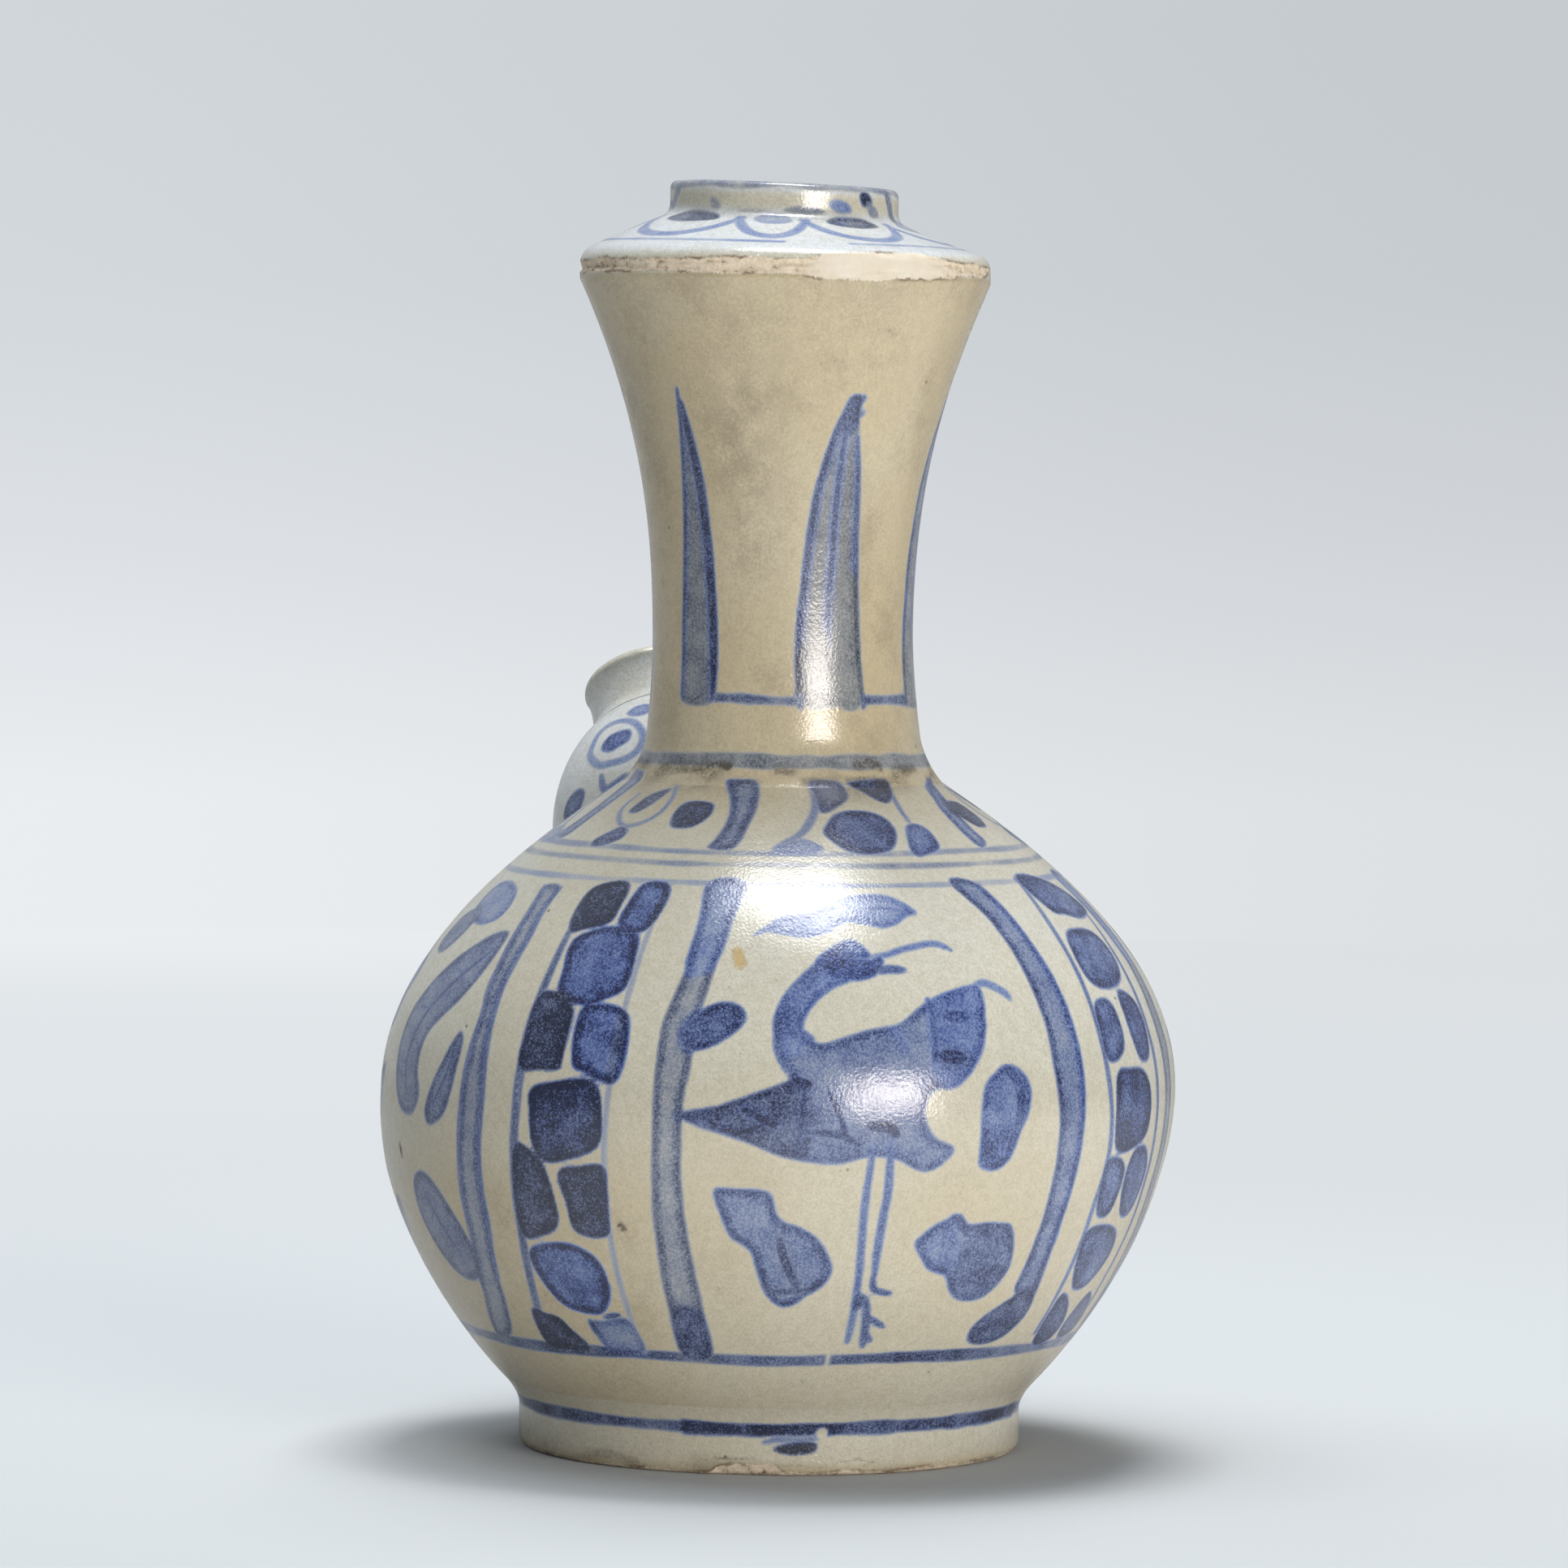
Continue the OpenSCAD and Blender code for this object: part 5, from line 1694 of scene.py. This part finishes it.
class Chips:
    """The fretted edge of the mouth, where the glaze has broken away from the clay."""

    NOISE = Unevenness(101)
    TOP = 173.2
    LOW = 171.2
    DEEPEST = 1.2

    @classmethod
    def wear(cls, layers: dict[str, Array], at: Surface, where: Array) -> Array:
        """Breaks the edge of one piece, with a smooth flake where it broke off in one go.

        Args:
            layers: The layers of its painting.
            at: Where its points lie.
            where: True where the edge may break.

        Returns:
            Depth to which the clay has broken away, in millimetres.
        """
        face, height, near, noise = at.face, at.height, wrapped(at.face), cls.NOISE
        top = cls.TOP + 0.26 * noise.around(face, 0, 8.0) + 0.12 * noise.around(face, 5, 2.5)
        top += 1.1 * smooth(near, 2.0, 16.0) * smooth(-near, -60.0, -40.0)
        low = cls.LOW + 0.25 * noise.around(face, 9, 8.0) + 0.12 * noise.around(face, 12, 2.0)
        low -= 0.8 * smooth(near, 0.0, 12.0) * smooth(-near, -62.0, -44.0)
        whole = smooth(np.abs(near), 62.0, 70.0) * smooth(noise.around(face, 20, 15.0), -0.25, 0.15)
        edge = np.maximum(low + 1.4 * whole - height, height - top + 1.6 * whole)
        bare = layers["bare"] = np.where(where, edge, FAR)
        flake = layers["flake"] = smooth(near, 4.0, 14.0) * smooth(-near, -58.0, -40.0)
        rough = 0.5 + 0.25 * noise.at(face, height, 12.0, 0.55) + 0.22 * noise.at(face, height + 50, 3.0, 0.4)
        big = 1.0 + 0.7 * smooth(noise.around(face, 33, 12.0), 0.1, 0.7)
        worn = smooth(-bare, -0.05, 0.7) * rough * big * (0.7 - 0.45 * flake)
        return np.where(where, np.clip(worn, 0.0, cls.DEEPEST), 0.0)


@dataclass
class NeckTrumpet(Thrown):
    """The tall waisted neck with the slip worked smooth around its root."""

    section: Section = Section.NECK
    nodes: tuple[str, ...] = ("neck", "neck_slip", "flange_slip")
    steps: int = 480

    def outline(self) -> Outline:
        """Draws the neck.

        Returns:
            The half section, from the root over the outer wall and back inside.
        """
        v = self.vessel
        side = v.fillet_wall()[0]
        neck = Outline(v.neck_root - v.neck_wall, v.seat_z).to(v.neck_root, v.seat_z, 2.0)
        neck.to(float(side[0]), float(side[1]), 1.0).sweep(v.fillet_wall(), 0.35)
        start = neck.points[-1][1]
        wall = Outline(*v.neck_foot()[0]).sweep(v.neck_foot(), self.row).sweep(v.neck_flare(), self.row)
        neck.points += [p for p in wall.points if p[1] > start + 0.1]
        neck.to(v.flange_r, v.cap_z, 0.2).to(v.flange_r - v.neck_wall, v.cap_z, 1.5)
        return neck.sweep(v.neck_flare(v.neck_wall)[::-1], 4.0).sweep(v.neck_foot(v.neck_wall)[::-1], 4.0)

    def motifs(self) -> list[Motif]:
        """The neck's painting, and the shoulder's where it runs onto the slip."""
        return NeckPainting.motifs() + BodyPainting.LINES + BodyPainting.shoulder()

    def wear(self, painting: Painting, at: Surface) -> Array:
        """Tints the wall, darkens the crease at its root and breaks its upper edge.

        Args:
            painting: The neck's painting.
            at: Where its points lie.

        Returns:
            Depth of the chips.
        """
        face, height, layers, noise = at.face, at.height, painting.layers, Unevenness(93)
        layers["warm"] = 0.86 + 0.12 * noise.at(face, height, 45.0, 30.0)
        # Darker in patches along the crease at the neck's root.
        crease = smooth(-np.abs(height - 99.4), -2.6, -0.3) * smooth(noise.at(face, height, 10.0, 2.0), -0.1, 0.55)
        haze = 0.28 * np.exp(-(((wrapped(face) + 16.0) / 15.0) ** 2) - ((height - 146.0) / 15.0) ** 2)
        haze += 0.16 * smooth(noise.at(face, height, 30.0, 22.0), 0.2, 0.9)
        layers["dirt"] = np.where(painting.outer, 0.8 * crease + haze, 0.0)
        painting.add([
            Stain([(-30, 100.2), (-26, 100.6), (-22, 100.3)], 1.4, 0.95),
            Stain([(30, 100.6), (35, 101), (40, 100.4)], 1.6, 0.95),
            Stain([(24, 98.7), (33, 98.9), (41, 98.6)], 0.6, 0.8),
            Stain([(-66, 126.8), (-65, 126.2)], 0.7, 0.8),
            Stain([(33, 163.4), (36, 162.6)], 0.6, 0.5),
        ])
        return Chips.wear(layers, at, painting.outer)


@dataclass
class MouthCap(Thrown):
    """The conical cap with its overhanging edge, its upright lip and the bore."""

    section: Section = Section.MOUTH
    nodes: tuple[str, ...] = ("mouth_cap",)
    steps: int = 900
    depth: float = 0.8
    whole_from: float = 177.0

    def outline(self) -> Outline:
        """Draws the cap.

        Returns:
            The half section, from the edge over the lip and down the bore.
        """
        v = self.vessel
        cap = v.cap_wall().bend((v.mouth_r, v.top_z), (v.mouth_r, v.cap_z), 1.3, 0.4, 8)
        cap.to(v.mouth_r, v.cap_z + 5.3, 0.8).to(v.flange_r - v.neck_wall, v.cap_z, 2.5)
        return cap.to(v.flange_r, v.cap_z, 0.9)

    def motifs(self) -> list[Motif]:
        """The cap's painting."""
        return MouthPainting.motifs()

    def painted(self, chart: Chart, at: Surface) -> Array:
        """True on the outer wall and over the lip."""
        return super().painted(chart, at) | ((at.height > self.vessel.top_z - 1.4) & (at.radius > 13.0))

    def wear(self, painting: Painting, at: Surface) -> Array:
        """Tints the cap, with a painted reflection on its cone, darkens the foot of its lip and breaks its edge.

        Args:
            painting: The cap's painting.
            at: Where its points lie.

        Returns:
            Depth of the chips.
        """
        face, height, layers, noise = at.face, at.height, painting.layers, Unevenness(94)
        # The cone's glaze is laid cool bluish white: white glaze with a painted reflection of the pale surroundings
        # over it; it turns tan under the edge and on the lip.
        lip = 0.75 * smooth(height, 180.3, 182.0) * smooth(-height, -184.0, -182.8)
        layers["warm"] = -0.42 + 0.87 * smooth(-height, -175.0, -172.8) + lip
        layers["warm"] += 0.1 * noise.at(face, height, 30.0, 5.0)
        # Darker in patches along the foot of the lip, and along a line across the broken edge.
        seam = 0.5 * smooth(-np.abs(height - 180.6), -0.8, 0.0) * smooth(noise.at(face, height, 15.0, 1.0), 0.0, 0.6)
        crevice = smooth(-np.abs(height - 172.5 - 0.5 * noise.around(face, 40, 5.0)), -0.3, -0.05)
        crevice *= 0.8 * smooth(noise.around(face, 60, 7.0), -0.1, 0.3)
        layers["dirt"] = np.where(painting.outer, seam + crevice, 0.0)
        return Chips.wear(layers, at, painting.outer & (height < self.whole_from))


@dataclass
class Spout:
    """The swelling spout on the shoulder and its short end piece with the pouring hole."""

    WALL_ROWS = 60
    FILLET_ROWS = 11
    vessel: Vessel
    seat_r: float = 42.0
    tilt: float = 54.0
    swell: float = 19.5
    swell_mid: float = 6.0
    length: float = 24.8
    root_r: float = 18.0
    wall: float = 3.0
    fillet: float = 3.4
    end_r: float = 10.0
    end_waist: float = 9.6
    end_lip: float = 10.2
    end_length: float = 8.0
    end_round: float = 1.4
    sunk: float = 0.75
    hole: float = 4.0
    seat_height: float = 92.0
    steps: int = 360
    end_steps: int = 240

    def __post_init__(self) -> None:
        """Finds the seat on the shoulder's own wall and the frame of the spout's axis."""
        shoulder = self.vessel.upper_wall()
        self.shoulder = np.array(Outline(*shoulder[0]).sweep(shoulder, 0.2).points)
        seat_z = float(np.interp(self.seat_r, self.shoulder[::-1, 0], self.shoulder[::-1, 1]))
        turn = Matrix.Rotation(math.radians(90.0 - self.tilt), 4, "Y")
        self.frame = Matrix.Translation(Vector((self.seat_r, 0.0, seat_z)) * MM) @ turn
        self.half = (self.length - self.swell_mid) / math.sqrt(1.0 - (self.end_r / self.swell) ** 2)
        self.tip_z = self.length + self.vessel.slip
        self.top = self.tip_z + self.end_length

    def profile(self, height: Array) -> Array:
        """Finds the swelling's outer wall.

        Args:
            height: Heights along the axis.

        Returns:
            The radius at each height.
        """
        egg = self.swell * np.sqrt(np.clip(1.0 - ((height - self.swell_mid) / self.half) ** 2, 0.0, 1.0))
        t = np.clip((self.swell_mid - height) / (self.swell_mid + self.swell / 2), 0.0, 1.0)
        return np.where(height > self.swell_mid, egg, self.swell - (self.swell - self.root_r) * t * t)

    def clearance(self, angle: Array, radius: Array, height: Array) -> Array:
        """Measures from places in the spout's frame to the shoulder.

        Args:
            angle: Angles about the spout's axis, in degrees.
            radius: Radii about it.
            height: Heights along it.

        Returns:
            How far each place lies outside the shoulder's wall, measured level.
        """
        a, m = np.radians(angle), np.array(self.frame)
        x, y = radius * np.cos(a), radius * np.sin(a)
        out = m[0, 0] * x + m[0, 2] * height + m[0, 3] / MM
        up = m[2, 0] * x + m[2, 2] * height + m[2, 3] / MM
        return np.hypot(out, y) - np.interp(up, self.shoulder[:, 1], self.shoulder[:, 0])

    def landing(self, angle: Array, radius: Array | None) -> Array:
        """Height at which a wall meets the shoulder.

        Args:
            angle: Angles about the spout's axis, in degrees.
            radius: Radius of an upright wall, or None for the swelling's own.

        Returns:
            The height at each angle.
        """
        low, high = np.full_like(angle, -16.0), np.full_like(angle, 9.0)
        for _ in range(40):
            mid = (low + high) / 2
            out = self.clearance(angle, self.profile(mid) if radius is None else radius, mid) > 0
            low, high = np.where(out, low, mid), np.where(out, mid, high)
        return (low + high) / 2

    def columns(self, angle: Array) -> Array:
        """Half sections of the swelling, each cut to the shoulder.

        Args:
            angle: Angles about the spout's axis, in degrees.

        Returns:
            Radius and height of each row at each angle.
        """
        join, bore_r = self.landing(angle, None), np.full_like(angle, self.root_r - self.wall)
        corner_r = self.profile(join)
        edge_r = corner_r + self.fillet
        foot_z, bore_z = self.landing(angle, edge_r), self.landing(angle, bore_r)
        rows = []
        for t in np.linspace(0.0, 1.0, self.WALL_ROWS):
            z = self.length + (join + self.fillet - self.length) * t
            rows.append((self.profile(z), z))
        top_r, top_z = rows[-1]
        for t in np.linspace(0.0, 1.0, self.FILLET_ROWS + 1)[1:]:
            k0, k1, k2 = (1 - t) ** 2, 2 * t * (1 - t), t * t
            z = k0 * top_z + k1 * join + k2 * (foot_z - 0.06)
            rows.append((k0 * top_r + k1 * corner_r + k2 * edge_r, z))
        rows += [(edge_r - 0.5, foot_z - 0.7), (bore_r, bore_z - 0.5)]
        for t in np.linspace(0.0, 1.0, 12):
            z = bore_z + (self.length - self.wall - bore_z) * t
            rise = np.maximum(z - self.swell_mid, 0.0) / (self.half - self.wall)
            egg = (self.swell - self.wall) * np.sqrt(np.clip(1.0 - rise**2, 0.0, 1.0))
            rows.append((np.maximum(np.minimum(egg, bore_r + 1.5 * t), self.hole), z))
        rows.append((np.full_like(angle, self.hole), np.full_like(angle, self.length)))
        return np.array([np.stack(np.broadcast_arrays(r, z)) for r, z in rows])

    def end_wall(self) -> Outline:
        """Draws the end piece's outer wall.

        Returns:
            The wall from the swelling to the top of the lip.
        """
        foot, third = self.tip_z + 0.3, self.end_length / 3
        wall = Outline(self.end_r + 0.9, self.length - self.sunk).to(self.end_r + 0.35, self.length + 0.1, 0.3)
        waist = [(self.end_waist, self.tip_z + third), (self.end_waist, self.tip_z + 2 * third)]
        lip = (self.end_lip, self.top - self.end_round)
        wall.to(self.end_r, foot, 0.3).sweep([(self.end_r, foot), *waist, lip], 0.35)
        return wall.bend((self.end_lip, self.top), (self.hole, self.top), self.end_round, 0.3, 8)

    def chart(self) -> Chart:
        """Unrolls the spout's outer wall.

        Returns:
            The wall from the root to the lip.
        """
        heights = np.linspace(-12.0, self.length, 80)
        points = [(float(r), float(z)) for r, z in zip(self.profile(heights), heights)]
        return Chart(points + [p for p in self.end_wall().points if p[1] > self.length])

    def set_on(self, piece: Piece, finish: Material, nodes: Sequence[str]) -> None:
        """Sets a piece onto the shoulder and dresses it.

        Args:
            piece: The piece, which still stands on the wheel.
            finish: The glaze.
            nodes: Nodes of the frame that it stands for.
        """
        piece.matrix_world = self.frame
        Wheel.pick(piece)
        bpy.ops.object.transform_apply(location=True, rotation=True, scale=True)
        self.vessel.settle(piece, self.seat_height)
        Wheel.fire(piece, finish, nodes)

    def build_swelling(self, chart: Chart, finish: Material) -> None:
        """Throws the swelling and cuts its root to the shoulder.

        Args:
            chart: The spout's unrolled wall.
            finish: The glaze.
        """
        level = self.columns(np.array([90.0]))[:, :, 0]
        outline = Outline(float(level[0, 0]), float(level[0, 1]))
        outline.points += [(float(r), float(z)) for r, z in level[1:]]
        piece = Wheel.throw(Section.BULB, outline, self.steps)
        at = Wheel.read(piece)
        row = np.argmin(np.hypot(at.radius[:, None] - level[None, :, 0], at.height[:, None] - level[None, :, 1]), 1)
        radius, height = self.columns(at.angle)[row, :, np.arange(len(row))].T
        outer = row < self.WALL_ROWS + self.FILLET_ROWS
        painting = Painting(chart, at.angle % 360.0, height, outer).add(SpoutPainting.motifs())
        noise = Unevenness(95)
        # The swelling's glaze is laid whiter and cooler: partly the glaze's own colour, partly painted light that
        # brightens it.
        painting.layers["warm"] = 0.12 * noise.at(at.angle, height, 45.0, 15.0) - 0.28
        # Darker in patches towards the swelling's foot, where it meets the shoulder.
        foot = np.where(outer & (row > 58), smooth(row.astype(float), 58.0, 69.0), 0.0)
        painting.layers["dirt"] = 0.5 * foot * smooth(noise.at(at.angle, height, 20.0, 3.0), -0.1, 0.7)
        painting.store(piece)
        stray = np.where(row < self.WALL_ROWS - 1, 0.25 * noise.at(at.angle, height, 60.0, 20.0), 0.0)
        Wheel.press(piece, Surface(at.angle, radius + stray, height))
        self.set_on(piece, finish, ["spout_bulb", "spout_slip"])

    def build_end(self, chart: Chart, finish: Material) -> None:
        """Throws the end piece with its rolled lip and the pouring hole.

        Args:
            chart: The spout's unrolled wall.
            finish: The glaze.
        """
        outline = self.end_wall().bend((self.hole, self.top), (self.hole, self.length), self.end_round, 0.3, 8)
        piece = Wheel.throw(Section.TIP, outline.to(self.hole, self.length - self.sunk, 1.0), self.end_steps)
        at = Wheel.read(piece)
        painting = Painting(chart, at.angle % 360.0, at.height, at.radius > self.end_waist - 1.2)
        layers, noise = painting.add(SpoutPainting.motifs()).layers, Unevenness(96)
        # The end's glaze is laid cool white, partly painted light that brightens it, turning tan at the top of the lip.
        layers["warm"] = 0.5 * smooth(at.height, self.top - 2.5, self.top) - 0.2
        layers["warm"] += 0.15 * noise.at(at.angle, at.height, 45.0, 6.0)
        rubbed = (at.radius > self.hole + 2.2) & (at.height > self.top - 1.0)
        layers["bare"] = np.where(rubbed, noise.at(at.angle, 4.0 * at.radius, 22.0, 5.0) * 1.2 + 0.75, FAR)
        painting.store(piece)
        self.set_on(piece, finish, ["spout_tip", "tip_slip"])

    def build(self, finish: Material) -> None:
        """Throws, seats and paints the swelling and its end.

        Args:
            finish: The glaze.
        """
        chart = self.chart()
        self.build_swelling(chart, finish)
        self.build_end(chart, finish)


class Shows(Enum):
    """What a soft box does: it lights the vessel, or is mirrored in its glaze."""

    LIT = "lit"
    MIRRORED = "mirrored"


@dataclass(frozen=True)
class SoftBox:
    """A soft box: degrees to the right of the camera and above level, metres away, its face and its brightness."""

    name: str
    turn: float
    rise: float
    away: float
    size: Pair
    radiance: float
    tint: Colour
    shows: Shows


@dataclass
class Studio:
    """Pale floor, soft boxes and the camera."""

    BOXES = (
        SoftBox("overhead_box", 70.0, 86.6, 1.05, (0.34, 0.46), 16.3, (1.0, 1.0, 1.0), Shows.MIRRORED),
        SoftBox("back_box", 170.0, 75.0, 1.05, (0.34, 0.46), 16.5, (1.0, 1.0, 1.0), Shows.LIT),
        SoftBox("standing_box", 31.0, 6.5, 1.3, (0.52, 0.34), 17.0, (1.0, 0.9, 0.8), Shows.MIRRORED),
        SoftBox("front_panel", 32.0, 7.0, 1.8, (1.0, 0.9), 8.4, (1.0, 0.98, 0.94), Shows.LIT),
        SoftBox("left_panel", -120.0, 75.0, 1.6, (1.2, 1.4), 3.3, (0.9, 0.97, 1.0), Shows.LIT),
    )
    floor_r: float = 1.15
    floor_tint: Colour = (0.55, 0.565, 0.578)
    floor_shade: Colour = (0.16, 0.14, 0.13)
    fill_turn: float = 30.0
    haze: Colour = (0.752, 0.787, 0.817)
    glow: Colour = (0.82, 0.85, 0.875)
    middle: Colour = (0.715, 0.745, 0.78)
    sky: Colour = (0.65, 0.685, 0.715)
    top: Colour = (0.635, 0.67, 0.7)
    zenith: Colour = (0.85, 0.87, 0.9)
    fill: Colour = (0.198, 0.22, 0.242)
    azimuth: float = 250.0
    distance: float = 1.15
    eye: float = 0.15
    aim: float = 0.097
    aside: float = 0.0004
    roll: float = 0.8
    lens: float = 180.5

    def toward(self, turn: float = 0.0, rise: float = 0.0) -> Vector:
        """Direction at an angle to the right of the camera and above level, in degrees."""
        a, e = math.radians(self.azimuth + turn), math.radians(rise)
        return Vector((math.sin(a) * math.cos(e), -math.cos(a) * math.cos(e), math.sin(e)))

    def floor(self) -> None:
        """Lays the floor, lit near the vessel and fading to a pale haze far off."""
        Wheel.pick()
        bpy.ops.mesh.primitive_circle_add(vertices=128, radius=self.floor_r, fill_type="NGON", location=(0.0, 0.0, 0.0))
        floor = bpy.context.object
        floor.name = "floor"
        finish = bpy.data.materials.new("studio_floor")
        s = Shading(finish)
        reach = s.measure("DISTANCE", (0.0, 0.0, 0.0))
        seen = s.sum("MAXIMUM", s.ray("Is Camera Ray"), s.ray("Is Transmission Ray"))
        # Painted contact shadow: the floor's colour darkens towards floor_shade close around the foot, centred a little
        # towards the camera.
        shadow = s.step(s.measure("DISTANCE", self.toward() * 0.015), 0.036, 0.06, 0.14, 0.0)
        bounce = s.step(s.measure("DOT_PRODUCT", self.toward(self.fill_turn)), -0.05, 0.12, 0.36, 0.9)
        tint = s.mix(seen, bounce, s.mix(shadow, self.floor_tint, self.floor_shade))
        lit = s.add("BsdfDiffuse", 0, {"Color": tint})
        across = s.sum("DIVIDE", s.measure("DOT_PRODUCT", self.toward(90.0)), s.sum("MAXIMUM", reach, 0.05))
        edge = s.step(reach, 0.75, 1.14)
        level = s.step(s.step(across, -0.24, 0.24), 0.0, 1.0, 1.0, s.blend(edge, 0.96, 0.88))
        glow = s.add("Emission", 0, {"Color": s.mix(edge, self.haze, self.glow), "Strength": level})
        far = s.sum("MULTIPLY", s.step(reach, 0.14, 0.6), seen)
        s.show(s.add("MixShader", 0, {0: far, 1: lit, 2: glow}))
        floor.data.materials.append(finish)

    def world(self) -> None:
        """Sets the pale surroundings: soft fill for the vessel, haze for the eye."""
        world = bpy.data.worlds.new("surroundings")
        bpy.context.scene.world = world
        s = Shading(world, "Generated")
        stops = [(0.033, self.glow), (0.085, self.middle), (0.13, self.sky), (0.18, self.top), (1.0, self.zenith)]
        sky = s.ramp(s.step(s.measure("DOT_PRODUCT", (0.0, 0.0, 1.0)), -0.07, 0.6, kind="LINEAR"), stops)
        falling = s.step(s.measure("DOT_PRODUCT", self.toward(90.0)), -0.12, 0.12, 1.0, 0.88)
        room = s.step(s.measure("DOT_PRODUCT", self.toward(180.0)), -0.3, 0.5, 0.25, 0.6)
        level = s.sum("MULTIPLY", falling, s.sum("MAXIMUM", room, s.ray("Is Camera Ray")))
        shade = s.add("VectorMath", 0, {0: sky, "Scale": level}, operation="SCALE")
        seen = s.sum("MAXIMUM", s.ray("Is Camera Ray"), s.ray("Is Glossy Ray"))
        s.show(s.add("Background", 0, {"Color": s.mix(seen, self.fill, shade)}), "World")

    def lamp(self, box: SoftBox) -> None:
        """Hangs one soft box.

        Args:
            box: The box.
        """
        data = bpy.data.lights.new(box.name, "AREA")
        data.shape, data.size, data.size_y = "RECTANGLE", box.size[0], box.size[1]
        data.energy, data.color = box.radiance * math.pi * box.size[0] * box.size[1], box.tint
        lamp = bpy.data.objects.new(box.name, data)
        lamp.visible_glossy, lamp.visible_diffuse = box.shows is Shows.MIRRORED, box.shows is Shows.LIT
        bpy.context.scene.collection.objects.link(lamp)
        out = self.toward(box.turn, box.rise)
        lamp.location = Vector((0.0, 0.0, 0.09)) + out * box.away
        lamp.rotation_mode = "QUATERNION"
        lamp.rotation_quaternion = (-out).to_track_quat("-Z", "Y")

    def camera(self) -> None:
        """Sets the camera at the photograph's viewing angle."""
        data = bpy.data.cameras.new("camera")
        data.lens, data.sensor_width = self.lens, 36.0
        data.clip_start, data.clip_end = 0.01, 50.0
        camera = bpy.data.objects.new("camera", data)
        bpy.context.scene.collection.objects.link(camera)
        aside = self.toward(90.0) * self.aside
        target = Vector((0.0, 0.0, self.aim)) + aside
        camera.location = self.toward() * self.distance + aside + Vector((0.0, 0.0, self.eye))
        look = (target - camera.location).to_track_quat("-Z", "Y").to_matrix().to_4x4()
        camera.rotation_mode = "QUATERNION"
        camera.rotation_quaternion = (look @ Matrix.Rotation(math.radians(self.roll), 4, "Z")).to_quaternion()
        bpy.context.scene.camera = camera

    def build(self) -> None:
        """Sets up the floor, the surroundings, the lamps and the camera."""
        self.floor()
        self.world()
        for box in self.BOXES:
            self.lamp(box)
        self.camera()
        bpy.context.scene.view_settings.view_transform = "Standard"


def main() -> None:
    """Loads the frame, builds and dresses each section, and sets up the studio."""
    logging.basicConfig(level=logging.INFO, format="%(name)s: %(message)s")
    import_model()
    finish = PaintedGlaze().material()
    vessel = Vessel()
    chart = vessel.chart()
    for section in (FootRing(vessel), LowerBowl(vessel), UpperBowl(vessel), NeckTrumpet(vessel), MouthCap(vessel)):
        section.build(chart, finish)
    Spout(vessel).build(finish)
    Studio().build()


if __name__ == "__main__":
    main()
